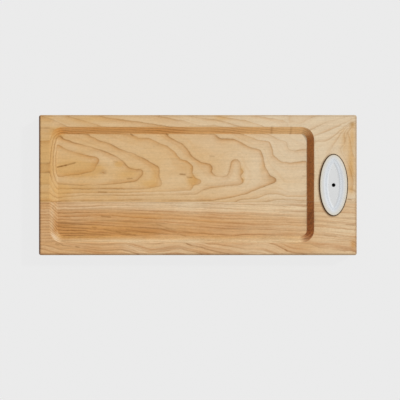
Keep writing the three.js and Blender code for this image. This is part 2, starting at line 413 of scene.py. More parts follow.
def stave_material(name, look, tones, streaks, fibres):
    """Maple: growth lines and their late wood, streaks, fibres, flecks and end grain.
    The mesh carries the count of growth lines, their spacing in millimetres, and the local tones."""
    pale, tan, late_tone, line_tone = tones
    material, wiring, shader = new_material(name, Specular_IOR_Level=0.35)
    plus, minus, times, fit, fading = wiring.plus, wiring.minus, wiring.times, wiring.fit, wiring.fading
    place = wiring.place()
    spacing = wiring.attribute("spacing")
    noises = {key: wiring.noise(place, *setting) for key, setting in WOOD_NOISES.items()}

    # Distance in millimetres to the next growth line outwards, and from the last one
    waver = times(minus(noises["waver"], 0.5), LINE_WAVER)
    count = plus(wiring.attribute("growth"), wiring.over(waver, spacing))
    part = wiring.math("FRACT", count)
    ahead = times(minus(1, part), spacing)
    behind = times(part, spacing)
    width, late_width = (
        wiring.math("MINIMUM", times(spacing, part_of_spacing), most)
        for part_of_spacing, most in (LINE_WIDTH, LATE_WIDTH)
    )
    line = wiring.math("MAXIMUM", fading(ahead, width), fading(behind, times(width, 0.5)))

    # Each line has its own strength, and it comes and goes along its length
    own = fit(wiring.chance(wiring.math("ROUND", count)), 0, 1, 0.55, 1)
    along = times(fit(noises["clearness"], 0.35, 0.62, 0.35, 1), wiring.attribute("clarity"))
    line = times(times(line, times(own, along)), look.line_strength, clamp=True)
    late = times(times(fading(ahead, late_width), along), look.late_strength, clamp=True)

    # Pale to tan: slow drift, a tint for each ring, and the tones that the mesh carries
    drift = times(minus(noises["drift"], 0.5), 0.7)
    band = times(minus(wiring.chance(wiring.math("FLOOR", count)), 0.5), 0.14)
    warmth = plus(plus(wiring.attribute("warmth"), drift), band, clamp=True)
    tone = wiring.blend(warmth, pale, tan)

    # Warm wood shows its lines more strongly, and has streaks that follow them
    depth = fit(warmth, 0.05, 0.7, 0.75, 1)
    beside_lines = wiring.add("ShaderNodeCombineXYZ", {"X": wiring.axis(place, "X"), "Y": count}).outputs[0]
    streak = fit(wiring.noise(beside_lines, *STREAK_NOISE), 0.48, 0.68, 0, streaks)
    for cover, dark_tone in ((streak, late_tone), (late, late_tone), (line, line_tone)):
        tone = wiring.blend(times(cover, depth), tone, dark_tone)

    # Fibres run along the board, fine ones over coarse ones
    fibre = plus(times(noises["coarse fibres"], 0.6), times(noises["fine fibres"], 0.4))
    lift = fit(fibre, 0.3, 0.7, -0.5 * fibres, 0.3 * fibres)
    lift = plus(lift, times(minus(noises["mottle"], 0.5), look.mottle_strength))
    lift = plus(times(lift, wiring.attribute("coarseness")), 1)
    lift = times(lift, minus(1, wiring.attribute("shade")))
    grey = wiring.add("ShaderNodeCombineColor", {0: lift, 1: lift, 2: lift}).outputs[0]
    tone = wiring.tinted(tone, grey)

    # Flecks: those that the mesh carries, broken up by the fibres, and a scatter of tiny ones
    broken = fit(noises["fine fibres"], 0.3, 0.5, 0.65, 1)
    marks = times(wiring.attribute("fleck"), broken, clamp=True)
    scatter = fit(noises["tiny flecks"], 0.74, 0.8, 0, 0.4)
    tone = wiring.blend(wiring.math("MAXIMUM", marks, scatter), tone, look.fleck)

    # The glue line, the cut ends of the fibres, and the painted light and shade of the walls and edges
    from_glue = wiring.math("ABSOLUTE", minus(wiring.axis(place, "Y"), glue_line))
    tone = wiring.blend(times(fading(from_glue, GLUE_REACH), GLUE_STRENGTH), tone, line_tone)
    normal = wiring.add("ShaderNodeTexCoord").outputs["Normal"]
    facing = wiring.math("ABSOLUTE", wiring.axis(normal, "X"))
    end = times(fit(facing, 0.75, 0.95, 0, 1), fit(noises["pores"], 0.35, 0.6, 1, 0.7))
    tone = wiring.tinted(tone, look.end, end)
    tone = wiring.tinted(tone, wiring.add("ShaderNodeAttribute", attribute_name="tint").outputs["Vector"])

    relief = minus(fibre, times(line, 0.5))
    finish_surface(wiring, shader, tone, relief, 0.06 * MM, fit(fibre, 0.3, 0.7, 0.6, 0.48))
    return material


# Insets from the plate's edge between which the painted reflection of the wood fades out, and the pooled
# glaze starts and ends
WOOD_REFLECTION_INSETS = (0.5 * MM, 5.6 * MM)
POOL_START = (5.5 * MM, 7.5 * MM)
POOL_END = (10.4 * MM, 12.3 * MM)


def glaze_material(colours):
    """White glaze with a faint drift of tone, a few specks and a fine ripple. Along the rim it carries a
    painted warm reflection of the wood, it pools with a bluish tinge between the two steps, its socket is
    painted black as shade, and its edge is unglazed brown with painted shade on the side away from the
    light."""
    material, wiring, shader = new_material("glaze", Roughness=0.4, Specular_IOR_Level=0.3)
    fit = wiring.fit
    place = wiring.place()
    base = colours.glaze
    cloud = fit(wiring.noise(place, 60, 3), 0.3, 0.7, 0, 1)
    tone = wiring.blend(cloud, dimmed(base, 0.97), base)
    specks = fit(wiring.noise(place, 900, 1), 0.8, 0.84, 0, 0.25)
    tone = wiring.blend(specks, tone, dimmed(base, 0.62))
    inset = wiring.attribute("inset")
    tone = wiring.tinted(tone, colours.wood_reflection, fit(inset, *WOOD_REFLECTION_INSETS, 1, 0))
    pooled = wiring.times(fit(inset, *POOL_START, 0, 1), fit(inset, *POOL_END, 1, 0))
    tone = wiring.tinted(tone, colours.pooled_glaze, pooled)
    # Painted shade: black on the socket's lip and in its hole
    tone = wiring.blend(wiring.attribute("hole"), tone, colours.socket)
    # The edge's brown: unglazed below, with painted shade on the side away from the light
    tone = wiring.blend(wiring.attribute("rim"), tone, colours.plate_edge_brown_and_shade)
    finish_surface(wiring, shader, tone, wiring.noise(place, 240), 0.03 * MM)
    return material


def soft_material(name, base, roughness, grains, relief):
    """Rubber or silicone: a fine matt grain with slightly rubbed spots"""
    material, wiring, shader = new_material(name)
    place = wiring.place()
    grain = wiring.noise(place, grains, 3, 0.6)
    rubbed = wiring.fit(wiring.noise(place, 90), 0.4, 0.7, 0, 0.5)
    tone = wiring.blend(rubbed, base, dimmed(base, 0.8, 0.03))
    tone = wiring.blend(wiring.fit(grain, 0.3, 0.7, 0, 0.4), tone, dimmed(base, 0.75))
    rough = wiring.fit(grain, 0.3, 0.7, roughness - 0.06, roughness + 0.08)
    finish_surface(wiring, shader, tone, grain, relief, rough)
    return material


def steel_material(colours):
    """Plated steel: turning marks around the upright axis and a few darker spots"""
    material, wiring, shader = new_material("steel", Metallic=1.0)
    place = wiring.place()
    marks = wiring.noise(place, (400, 400, 5200))
    spots = wiring.fit(wiring.noise(place, 700), 0.6, 0.75, 0, 0.35)
    tone = wiring.blend(spots, colours.steel, dimmed(colours.steel, 0.6))
    finish_surface(wiring, shader, tone, marks, 0.02 * MM, wiring.fit(marks, 0.3, 0.7, 0.26, 0.42))
    return material


# Outlines in plan


def arc(radius, angles, centre=(0, 0)):
    """Points at these angles around a centre"""
    return np.array(centre) + radius * np.stack([np.cos(angles), np.sin(angles)], 1)


def circle(radius, count, centre=(0, 0)):
    """An anticlockwise circle"""
    return arc(radius, np.arange(count) * 2 * math.pi / count, centre)


def round_over(radius, steps):
    """A quarter round from a flat face over to the side, as pairs of inset and drop"""
    angles = np.linspace(0, math.pi / 2, steps + 1)
    return [(radius * (1 - math.sin(a)), radius * (1 - math.cos(a))) for a in angles]


def rounded_rectangle(low, high, inset, radius, counts):
    """An anticlockwise outline drawn in by an inset, with the same count of points at any inset.
    The counts are of steps along X, along Y and around each corner."""
    low = np.array(low) + inset
    high = np.array(high) - inset
    radius = radius - inset
    along, across, around = counts
    turn = np.linspace(0, math.pi / 2, around + 1)
    centres = (
        (high[0] - radius, low[1] + radius),
        (high[0] - radius, high[1] - radius),
        (low[0] + radius, high[1] - radius),
        (low[0] + radius, low[1] + radius),
    )
    arcs = [arc(radius, turn + (n - 1) * math.pi / 2, centre) for n, centre in enumerate(centres)]
    outline = []
    for quarter, corner in enumerate(arcs):
        onward = arcs[(quarter + 1) % 4][0]
        steps = np.linspace(0, 1, (across, along)[quarter % 2] + 1)[1:-1, None]
        outline += [corner, corner[-1] + steps * (onward - corner[-1])]
    return np.concatenate(outline)


def oval(inset, quarter_count):
    """A curve beside the plate's oval at a constant inset. Once the inset is larger than the oval's
    tightest bend, the two sides meet in a point at each end, as they do on a lens."""
    short, long = plate_half
    spread = long**2 - short**2
    crossing = (inset * long / short) ** 2 - short**2
    pointed = inset > 0 and crossing > 0
    last = math.acos(math.sqrt(crossing / spread)) if pointed else math.pi / 2
    angle = np.linspace(0, last, quarter_count + 1)
    out = np.stack([long * np.cos(angle), short * np.sin(angle)], 1)
    out /= np.linalg.norm(out, axis=1, keepdims=True)
    quarter = np.stack([short * np.cos(angle), long * np.sin(angle)], 1) - inset * out
    quarter[-1, 0] = 0
    upper = np.concatenate([quarter, quarter[-2::-1] * (-1, 1)])
    return np.concatenate([upper, -upper[1:-1]])


def bend(corner, back, onward, reach, steps=5):
    """A smooth bend inside a corner, which starts and ends at a reach from it"""
    part = np.linspace(0, 1, steps + 1)[:, None]
    return corner + reach * ((1 - part) ** 2 * np.array(back) + part**2 * np.array(onward))


def batches(places, size):
    """The places in batches of about that size, which keeps the tables made of them small"""
    return np.array_split(places, len(places) // size + 1)


def inside(outline, points):
    """Which points lie inside a closed outline, by the count of its edges to their right"""
    x0, y0 = outline.T
    x1, y1 = np.roll(outline, -1, axis=0).T
    rise = np.where(y1 == y0, 1, y1 - y0)
    found = []
    for some in batches(points, 4096):
        x, y = some[:, :1], some[:, 1:]
        spans = (y0 > y) != (y1 > y)
        crossing = x0 + (y - y0) * (x1 - x0) / rise
        found.append((spans & (x < crossing)).sum(1) % 2 == 1)
    return np.concatenate(found)


def region_points(outlines, step):
    """Points in staggered rows inside the first outline and outside the others, clear of them all"""
    low, high = outlines[0].min(0), outlines[0].max(0)
    rows = np.arange(low[1] + step / 2, high[1], step * math.sin(math.pi / 3))
    columns = np.arange(low[0] + step / 2, high[0], step)
    x, y = np.meshgrid(columns, rows)
    x[1::2] += step / 2
    points = np.stack([x.ravel(), y.ravel()], 1)
    points = points[inside(outlines[0], points)]
    for hole in outlines[1:]:
        points = points[~inside(hole, points)]
    edge = np.concatenate(outlines)
    least = (0.6 * step) ** 2
    clear = []
    for some in batches(points, 2048):
        squared = ((some[:, None] - edge) ** 2).sum(2)
        clear.append(squared.min(1, initial=1) > least)
    return points[np.concatenate(clear)]


# Meshes


class Shell:
    """A closed surface, gathered ring by ring"""

    def __init__(self):
        self.points = []
        self.faces = []

    def ring(self, outline, level):
        """Adds an outline's points at a level, and returns their numbers"""
        start = len(self.points)
        self.points += [(x, y, level) for x, y in outline]
        return list(range(start, len(self.points)))

    def circles(self, profile, count, centre=(0, 0)):
        """Adds a circle about an upright axis for each (radius, level) pair of a profile"""
        return [self.ring(circle(radius, count, centre), level) for radius, level in profile]

    def strips(self, rings):
        """Joins each ring to the next with a strip of faces"""
        for first, second in zip(rings, rings[1:]):
            onward = first[1:] + first[:1]
            beyond = second[1:] + second[:1]
            self.faces += list(zip(first, onward, beyond, second))

    def cap(self, ring, level, centre=(0, 0)):
        """Closes a ring with a fan of faces about a point"""
        pole = self.ring([centre], level)[0]
        self.faces += [(pole, a, b) for a, b in zip(ring, ring[1:] + ring[:1])]

    def sheet(self, rings, step):
        """Fills the flat region inside the first ring and outside the others"""
        outlines = [np.array([self.points[n][:2] for n in ring]) for ring in rings]
        level = self.points[rings[0][0]][2]
        numbers = [n for ring in rings for n in ring]
        edges = []
        for ring in rings:
            start = len(edges)
            edges += [(start + n, start + (n + 1) % len(ring)) for n in range(len(ring))]
        inner = region_points(outlines, step)
        numbers += self.ring(inner, level)
        placed = [Vector(p) for p in np.concatenate([*outlines, inner])]
        corners, _, triangles, sources, _, _ = delaunay_2d_cdt(placed, edges, [], 0, SAME_POINT)
        triangles = np.array(triangles)
        middles = np.array([tuple(c) for c in corners])[triangles].mean(1)
        kept = inside(outlines[0], middles)
        for hole in outlines[1:]:
            kept &= ~inside(hole, middles)
        for triangle in triangles[kept]:
            self.faces.append(tuple(numbers[sources[n][0]] for n in triangle))

    def to_bmesh(self):
        """The surface as a bmesh"""
        made = bmesh.new()
        corners = [made.verts.new(point) for point in self.points]
        for face in self.faces:
            made.faces.new([corners[n] for n in face])
        return made


def shade(mesh, sharp=35):
    """Shades a mesh smoothly, apart from its corners of more than so many degrees"""
    mesh.shade_smooth()
    mesh.set_sharp_from_angle(angle=math.radians(sharp))


def finished_mesh(name, made, sharp=35):
    """The shaded mesh of a bmesh, with its faces outwards"""
    bmesh.ops.recalc_face_normals(made, faces=made.faces[:])
    mesh = bpy.data.meshes.new(name)
    made.to_mesh(mesh)
    made.free()
    shade(mesh, sharp)
    return mesh


def evaluated_mesh(piece):
    """The plain mesh that a piece's modifiers make"""
    evaluated = piece.evaluated_get(bpy.context.evaluated_depsgraph_get())
    return bpy.data.meshes.new_from_object(evaluated)


def carry(mesh, numbers):
    """Keeps named numbers at each point of a mesh"""
    for name, values in numbers.items():
        values = np.array(values, np.float32)
        mesh.attributes.new(name, "FLOAT", "POINT").data.foreach_set("value", values)


def turned(profile, count, centre=(0, 0)):
    """A profile of (radius, level) pairs turned about an upright axis, on which it starts and ends"""
    shell = Shell()
    rings = shell.circles(profile[1:-1], count, centre)
    shell.strips(rings)
    shell.cap(rings[0], profile[0][1], centre)
    shell.cap(rings[-1], profile[-1][1], centre)
    return shell


def show(name, shown, material=None):
    """Puts a mesh, a light or a camera in the scene at the origin"""
    piece = bpy.data.objects.new(name, shown)
    bpy.context.scene.collection.objects.link(piece)
    if material:
        shown.materials.clear()
        shown.materials.append(material)
    return piece


def settle(piece, slot, *nodes):
    """Makes a piece ride on the board, and hides the CAD nodes whose place it takes in the scene"""
    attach(piece, "root")
    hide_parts(*nodes)


# Geometry Nodes


def new_tree(name, **inputs):
    """A Geometry Nodes tree with named inputs: returns it, its wiring and its input node"""
    tree = bpy.data.node_groups.new(name, "GeometryNodeTree")
    tree.interface.new_socket("Geometry", in_out="OUTPUT", socket_type="NodeSocketGeometry")
    tree.interface.new_socket("Geometry", in_out="INPUT", socket_type="NodeSocketGeometry")
    for label, kind in inputs.items():
        tree.interface.new_socket(label, in_out="INPUT", socket_type=kind)
    wiring = Wiring(tree)
    return tree, wiring, wiring.add("NodeGroupInput").outputs


def close_tree(wiring, geometry, material):
    """Realises a tree's instances, gives the result its material and hands it out"""
    real = wiring.add("GeometryNodeRealizeInstances", {0: geometry}).outputs[0]
    painted = wiring.add("GeometryNodeSetMaterial", {"Geometry": real, "Material": material}).outputs[0]
    wiring.add("NodeGroupOutput", {0: painted})


def grown(name, mesh, tree, **settings):
    """The plain mesh that a tree makes of a mesh"""
    holder = show(name + "_seed", mesh)
    modifier = holder.modifiers.new("Grow", "NODES")
    modifier.node_group = tree
    for item in tree.interface.items_tree:
        if item.name in settings:
            modifier[item.identifier] = settings[item.name]
    made = evaluated_mesh(holder)
    made.name = name
    bpy.data.objects.remove(holder)
    return made


# Sizes of the plate's two steps, which the tree that presses them takes
DISH_SIZES = ("rim_band", "rim_slope", "rim_drop", "inner_band", "inner_slope", "inner_drop")


def dish_tree(material):
    """Presses two shallow steps into a plate's top, by each point's inset from the plate's edge"""
    tree, wiring, given = new_tree("pressed_dish", **dict.fromkeys(DISH_SIZES, "NodeSocketFloat"))
    inset = wiring.add("GeometryNodeInputNamedAttribute", {"Name": "inset"}, data_type="FLOAT").outputs[0]
    second = wiring.plus(given["rim_band"], given["inner_band"])
    drops = []
    for start, step in ((given["rim_band"], "rim"), (second, "inner")):
        end = wiring.plus(start, given[step + "_slope"])
        inputs = {"Value": inset, "From Min": start, "From Max": end, "To Max": given[step + "_drop"]}
        node = wiring.add("ShaderNodeMapRange", inputs, interpolation_type="SMOOTHSTEP")
        drops.append(node.outputs[0])
    down = wiring.times(wiring.plus(*drops), -1)
    offset = wiring.add("ShaderNodeCombineXYZ", {"Z": down}).outputs[0]
    pressed = wiring.add("GeometryNodeSetPosition", {"Geometry": given["Geometry"], "Offset": offset})
    close_tree(wiring, pressed.outputs[0], material)
    return tree


def corners_tree(material):
    """Sets a piece at the four corners of a rectangle about the origin, each at its own random turn"""
    tree, wiring, given = new_tree(
        "at_four_corners",
        piece="NodeSocketObject",
        along="NodeSocketFloat",
        across="NodeSocketFloat",
        turn="NodeSocketFloat",
        seed="NodeSocketInt",
    )
    grid = {"Size X": given["along"], "Size Y": given["across"], "Vertices X": 2, "Vertices Y": 2}
    places = wiring.add("GeometryNodeMeshGrid", grid).outputs[0]
    most = wiring.add("ShaderNodeCombineXYZ", {"Z": given["turn"]}).outputs[0]
    draws = {"Max": most, "Seed": given["seed"]}
    turn = wiring.add("FunctionNodeRandomValue", draws, data_type="FLOAT_VECTOR").outputs[0]
    one = wiring.add("GeometryNodeObjectInfo", {"Object": given["piece"]}).outputs["Geometry"]
    inputs = {"Points": places, "Instance": one, "Rotation": turn}
    close_tree(wiring, wiring.add("GeometryNodeInstanceOnPoints", inputs).outputs[0], material)
    return tree


def at_four_corners(name, mesh, material, turn, seed):
    """One mesh of four copies of a piece, one for each corner of the board"""
    one = show(name + "_one", mesh)
    empty = bpy.data.meshes.new(name + "_places")
    settings = {"piece": one, "along": 2 * foot_x, "across": 2 * foot_y, "turn": turn, "seed": seed}
    made = grown(name, empty, corners_tree(material), **settings)
    bpy.data.objects.remove(one)
    return made


# Figure of the wood


def from_pixels(places):
    """Places in the photograph, as metres in plan"""
    places = np.array(places, float)
    middle = np.array(MIDDLE_PIXEL)
    return (places - middle) * (PIXEL, -PIXEL)


# Growth lines as the photograph shows them, as pixel places along each line. The first number of an
# entry counts the lines outwards from the heart, and a part of one places the wood between two lines.
WIDE_FLOOR_LINES = (
    (0.35, (58, 163), (75, 162), (86, 163)),
    (1, (57, 144.5), (67, 149.5), (77, 152.5), (90, 156), (96, 156.7), (98.5, 160), (96, 165), (93, 171),
        (80, 174.2), (60, 176.5)),
    (2, (63, 138.5), (75, 142.5), (90, 146.5), (105, 151.5), (115, 156), (121, 159.5), (129, 167.5),
        (136, 169.5), (141, 169.5), (142.5, 172.5), (139, 178), (134, 181.5), (120, 183.5), (100, 185),
        (75, 185.3), (58, 184)),
    (3, (87, 133), (90, 136), (100, 140.5), (110, 143.5), (120, 149), (135, 154), (145, 159), (155, 165),
        (159.5, 169), (159, 176), (162, 183), (158, 186.5), (145, 189), (110, 189), (60, 189)),
    (4, (131, 134), (138, 137.5), (150, 138.5), (158, 142.5), (167, 146), (174, 151), (180, 158.5),
        (188, 161.5), (192.5, 166), (192.5, 172), (196, 178), (200.5, 183), (193, 186), (190, 190.3),
        (165, 191.5), (120, 192.8), (80, 193), (58, 194)),
    (5, (166, 133), (171, 138), (182, 143.5), (187, 149), (192, 156), (200, 161.5), (210, 164.3),
        (212.5, 168), (211.5, 171.5), (216, 175.5), (222, 176.5), (227, 175), (229.5, 169), (231.5, 161.5),
        (234, 159.7), (239, 160.5), (240.8, 165), (241, 168), (243.5, 171.5), (241, 176.5), (243.2, 180),
        (239.5, 185), (226, 186), (210, 188), (202, 190.5), (196, 194), (180, 194.8), (120, 195.5),
        (80, 195.5), (58, 197.5)),
    (6, (213, 133), (220, 138), (235, 139), (241, 142), (250, 147), (260, 150), (263, 156), (265.5, 167),
        (270, 175), (276, 179), (271, 184), (259, 188.5), (247, 193.5), (230, 198), (213, 200.5),
        (180, 200.8), (150, 200), (100, 201), (62, 201)),
    (7, (243, 134), (258, 139.5), (269, 141.5), (272, 147), (274, 155), (281, 161), (290, 162.7),
        (305, 161)),
    (7, (240, 200), (258, 198), (268, 194.5), (276, 194), (288, 196.5), (304, 197)),
    (8, (271, 135), (279, 139), (287, 142), (288.5, 148), (295, 150.3), (306, 149)),
    (8, (284, 199.7), (304, 200.7)),
    (6.45, (286, 178), (306, 180)),
    (3.5, (166, 178), (182, 178)),
    (4.4, (236.5, 165), (236.5, 181)),
    (4.5, (230, 181), (213, 181)),
    (1.6, (134.5, 173), (136, 175)),
)
WIDE_RIM_LINES = (
    (3, (40, 163.5), (51, 163.5)),
    (3, (40, 172.5), (51, 172.5)),
    (4, (40, 141), (50, 141)),
    (4, (40, 184.5), (50, 184.5)),
    (5, (40, 128), (49, 128)),
    (5, (40, 193), (50, 193)),
    (6, (40, 201), (50, 201)),
    (6, (45, 117), (56, 121), (66, 126)),
    (7, (70, 117), (84, 120.7), (99, 125.6)),
    (8, (105, 117.5), (123, 120), (136, 121.5), (165, 126)),
    (9, (160, 116.5), (182, 120.7), (200, 125.6)),
    (10, (190, 116), (206, 119), (217, 120), (238, 125.6)),
    (11, (215, 115.5), (228, 118), (245, 120.5), (262, 125.5)),
    (12, (255, 116), (275, 119), (300, 123.5)),
    (14, (315, 136), (322, 133.5), (328, 131), (333, 129), (341, 125), (345, 123), (351, 120)),
    (15, (316, 142), (325, 141), (330, 139), (338, 133), (343, 129), (347, 126), (352, 123)),
    (16, (330, 151), (334, 144), (338, 138), (341, 133), (345, 128), (351, 124.5)),
    (17, (341, 150), (344, 145), (345, 138), (345, 132), (350, 126)),
    (17, (341, 148), (343, 155), (346, 160), (349, 166), (351, 172), (353, 180), (353, 190)),
    (17.8, (349, 140), (351, 155)),
    (15.3, (318, 160), (318, 180)),
    (16, (320, 201), (345, 199), (355, 199)),
)
NARROW_FLOOR_LINES = (
    (0, (58, 203.5), (150, 203), (230, 204.5), (300, 206)),
    (1, (57, 207), (90, 206.5), (120, 205.5), (175, 206), (200, 207.5), (240, 210), (300, 212)),
    (2, (57, 210.2), (80, 209.8), (110, 209.3), (135, 210.5), (200, 213), (240, 214), (300, 216.5)),
    (3, (57, 213.3), (100, 212.8), (135, 214), (180, 216), (222, 219), (300, 220.5)),
    (4, (57, 217), (90, 216.3), (111, 215.8), (125, 217), (140, 218), (180, 220), (222, 223), (300, 226)),
    (5, (58, 220), (90, 220.3), (145, 222.5), (180, 225), (225, 228.5), (300, 231)),
    (6, (58, 223.2), (90, 225), (110, 226), (160, 229), (180, 232), (200, 233.5), (232, 236)),
    (7, (58, 227), (80, 228.5), (110, 230.5), (130, 232), (150, 233), (185, 236)),
    (8, (58, 230.3), (80, 231), (105, 233), (130, 235.5)),
)
NARROW_RIM_LINES = (
    (2, (40, 203.5), (50, 203.5)),
    (5, (40, 212), (50, 212)),
    (8, (40, 221), (50, 221)),
    (11, (40, 230), (50, 230)),
    (14, (40, 238.5), (50, 238.5)),
    (15, (55, 241.5), (62, 245), (70, 246.5), (85, 248.5), (100, 250.5)),
    (16, (45, 245), (60, 249.5), (75, 251.5)),
    (14, (125, 244), (138, 248), (150, 251)),
    (13, (182, 241.5), (189, 244.5), (203, 248), (215, 251.5)),
    (12, (208, 244), (218, 244.8), (232, 247), (245, 249.5)),
    (11, (265, 242), (275, 245), (280, 247), (287, 251)),
    (10, (303, 243.5), (310, 244), (320, 248), (330, 249), (345, 251.5)),
    (9, (318, 237.8), (350, 240.5)),
    (8, (316, 233), (330, 235), (355, 238)),
    (7, (316, 226.5), (330, 227.5), (355, 230)),
    (6, (316, 221), (354, 225)),
    (5, (316, 216.3), (354, 219)),
    (4, (316, 212), (354, 213.5)),
    (3, (316, 206.5), (354, 207.5)),
)

# Warm and dark patches, and those where the lines are faint: pixel place of the middle, half-length,
# half-width, strength. A dark patch of negative strength is a light one.
WIDE_WARM = (
    (78, 169, 20, 6, 1.2),
    (128, 175, 14, 6, 0.4),
    (150, 184, 9, 4, 0.5),
    (155, 174, 5, 9, 0.3),
    (193, 180, 5, 5, 0.6),
    (118.5, 164, 4, 2.5, 0.7),
    (242, 171, 2, 4, 0.6),
    (243, 179.5, 1.6, 3, 0.5),
    (263, 168, 3, 6, 0.3),
    (236, 175, 6, 12, 0.1),
    (60, 192, 10, 9, 0.4),
    (57, 132, 6, 6, 0.6),
    (352, 135, 3, 12, 0.6),
    (344, 140, 4, 14, 0.38),
    (351, 166, 4, 22, 0.8),
    (351, 190, 3, 4, 0.5),
    (352.5, 124.5, 3, 2.5, 0.7),
    (90, 119, 30, 4, 0.4),
    (222, 118, 8, 3, 0.5),
)
WIDE_DARK = (
    (351.5, 124, 2.5, 2.5, 0.18),
    (45, 160, 7, 42, 0.055),
    # Painted shade along the foot of the far wall
    (112, 131.6, 60, 2, 0.1),
    (271, 178, 6, 3, 0.05),
    (311, 163, 5, 5, 0.06),
    # A lighter patch that lifts the walls' painted shade in the far right corner
    (309.5, 135, 4, 5, -0.12),
)
WIDE_FAINT = (
    (72, 149, 22, 5, 0.25),
    (95, 147, 30, 6, 0.25),
    (95, 184, 42, 4, 0.3),
    (138, 174, 8, 9, 0.35),
    (45, 166, 5, 8, 0.6),
    (280, 197, 40, 6, 0.35),
    (318, 140, 9, 16, 0.5),
    (330, 120, 30, 4, 0.5),
)
NARROW_WARM = (
    (114, 232.5, 58, 4, 0.3),
    (353, 245, 3, 6, 0.6),
    (322, 241, 40, 9, 0.14),
    (295, 248, 50, 6, 0.12),
)
NARROW_DARK = (
    (68, 228, 16, 5, 0.03),
    (85, 235, 28, 2, 0.08),
    (311, 218, 5, 8, 0.22),
)
NARROW_FAINT = (
    (330, 215, 40, 14, 0.2),
    (337, 234, 26, 12, 0.4),
    (290, 248, 60, 6, 0.3),
    (120, 249, 70, 5, 0.2),
)

# Short dark marks and soft streaks: both ends in pixels, and strength
WIDE_FLECKS = (
    (57, 167, 66, 165, 1.6),
    (66, 165, 75, 162.5, 0.8),
    (98, 192, 106, 192.3, 0.7),
    (271.5, 127, 271, 133.5, 0.42),
    (272.6, 127, 272.1, 133.5, 0.3),
    (291, 126.5, 290.5, 133.5, 0.33),
    (292, 127, 291.5, 133.5, 0.25),
    (86.5, 133.3, 88, 134, 0.35),
    (130.5, 133.8, 132.5, 135, 0.8),
    (166, 133.3, 168, 134.3, 0.7),
    (60, 135, 62, 137.5, 0.5),
    (55, 139, 59, 133.5, 0.25),
    (127, 178.7, 132, 178.3, 0.7),
    (113, 161.5, 117, 161.8, 0.3),
    (180, 174, 185, 174.5, 0.95),
    (187, 177, 192, 177.5, 0.6),
    (210, 156, 214, 156.2, 0.45),
    (303, 176, 306, 176.2, 0.4),
    (45, 128, 49, 128.2, 0.35),
    (45, 163.5, 50, 163.3, 0.2),
    (45, 172.8, 50, 172.3, 0.25),
    (348, 199, 351, 199.8, 0.6),
    (352.5, 124.7, 347, 133, 0.18),
    (347, 133, 344.8, 142, 0.22),
    (352, 144, 353, 156, 0.12),
    (347.5, 154, 351, 166, 0.1),
    (351, 166, 354, 178, 0.18),
    (349, 188.8, 356, 191.5, 0.3),
)
NARROW_FLECKS = (
    (101, 216, 110, 217, 0.8),
    (92, 227.5, 96, 227.7, 0.6),
    (57, 215.5, 70, 218, 0.3),
    (112, 215.7, 134, 218.5, 0.25),
    (56, 221, 76, 224.5, 0.3),
    (56, 226, 74, 225, 0.35),
    (71, 230, 80, 233, 0.35),
    (80, 233, 110, 235.3, 0.4),
    (104, 229.5, 120, 233, 0.5),
    (116, 231.5, 135, 235.3, 0.6),
    (126, 229.5, 160, 234.3, 0.4),
    (156, 224, 176, 232, 0.25),
    (161, 229, 186, 236.3, 0.4),
    (166, 228, 192, 233, 0.3),
    (134, 223, 161, 225, 0.25),
    (150, 225, 180, 226.3, 0.22),
    (101, 220, 136, 222.3, 0.25),
    (346, 224.4, 354, 225, 0.4),
    (327, 223, 336, 223.3, 0.3),
    (324, 235, 336, 236.2, 0.3),
    (56, 244, 59, 244.8, 0.6),
    (76, 246.6, 79, 247.2, 0.7),
    (129, 245.4, 131, 246, 0.3),
    (187, 243.5, 191, 245.5, 0.4),
    (285, 249.5, 287, 251, 0.6),
)

WIDE_FIGURE = (WIDE_FLOOR_LINES, WIDE_RIM_LINES, WIDE_WARM, WIDE_DARK, WIDE_FAINT, WIDE_FLECKS)
NARROW_FIGURE = (
    NARROW_FLOOR_LINES,
    NARROW_RIM_LINES,
    NARROW_WARM,
    NARROW_DARK,
    NARROW_FAINT,
    NARROW_FLECKS,
)


def thin_sheet(points, values, softness=0.002):
    """A function that gives the height and slope of a thin bent sheet held at these points"""
    tiny = 1e-12

    def bending(squared):
        return 0.5 * squared * np.log(squared + tiny)

    size = len(points)
    squared = ((points[:, None] - points) ** 2).sum(2)
    plane = np.column_stack([np.ones(size), points])
    system = np.block([[bending(squared) + softness * np.eye(size), plane], [plane.T, np.zeros((3, 3))]])
    weights = np.linalg.solve(system, np.concatenate([values, np.zeros(3)]))
    bends, level, tilt = weights[:size], weights[size], weights[size + 1:]

    def sheet(places):
        heights, slopes = [], []
        for some in batches(places, 4096):
            offset = some[:, None] - points
            squared = (offset**2).sum(2)
            heights.append(bending(squared) @ bends + level + some @ tilt)
            pull = (np.log(squared + tiny) + 1) * bends
            slopes.append((pull[:, :, None] * offset).sum(1) + tilt)
        return np.concatenate(heights), np.concatenate(slopes)

    return sheet


def growth_sheet(lines, step=5):
    """A sheet through growth lines, held at points about so many pixels apart. It works in centimetres."""
    points, values = [], []
    for number, *line in lines:
        for start, end in zip(line, line[1:]):
            parts = max(1, round(math.dist(start, end) / step))
            points += [np.add(start, np.subtract(end, start) * n / parts) for n in range(parts)]
        points.append(line[-1])
        values += [number] * (len(points) - len(values))
    return thin_sheet(from_pixels(points) * CENTIMETRES, np.array(values, float))


def spread_patches(places, patches):
    """How strongly soft oval patches cover each place"""
    cover = np.zeros(len(places))
    for x, y, half_length, half_width, strength in patches:
        away = (places - from_pixels((x, y))) / (half_length * PIXEL, half_width * PIXEL)
        cover += strength * np.exp(-((away**2).sum(1)))
    return cover


def spread_flecks(places, flecks, half_width=0.55):
    """How strongly short marks cover each place"""
    cover = np.zeros(len(places))
    for x0, y0, x1, y1, strength in flecks:
        start, end = from_pixels(((x0, y0), (x1, y1)))
        along = (places - start) @ (end - start) / ((end - start) ** 2).sum()
        away = places - start - np.clip(along, 0, 1)[:, None] * (end - start)
        cover += strength * np.exp(-((away**2).sum(1)) / (half_width * PIXEL) ** 2)
    return np.minimum(cover, 1)


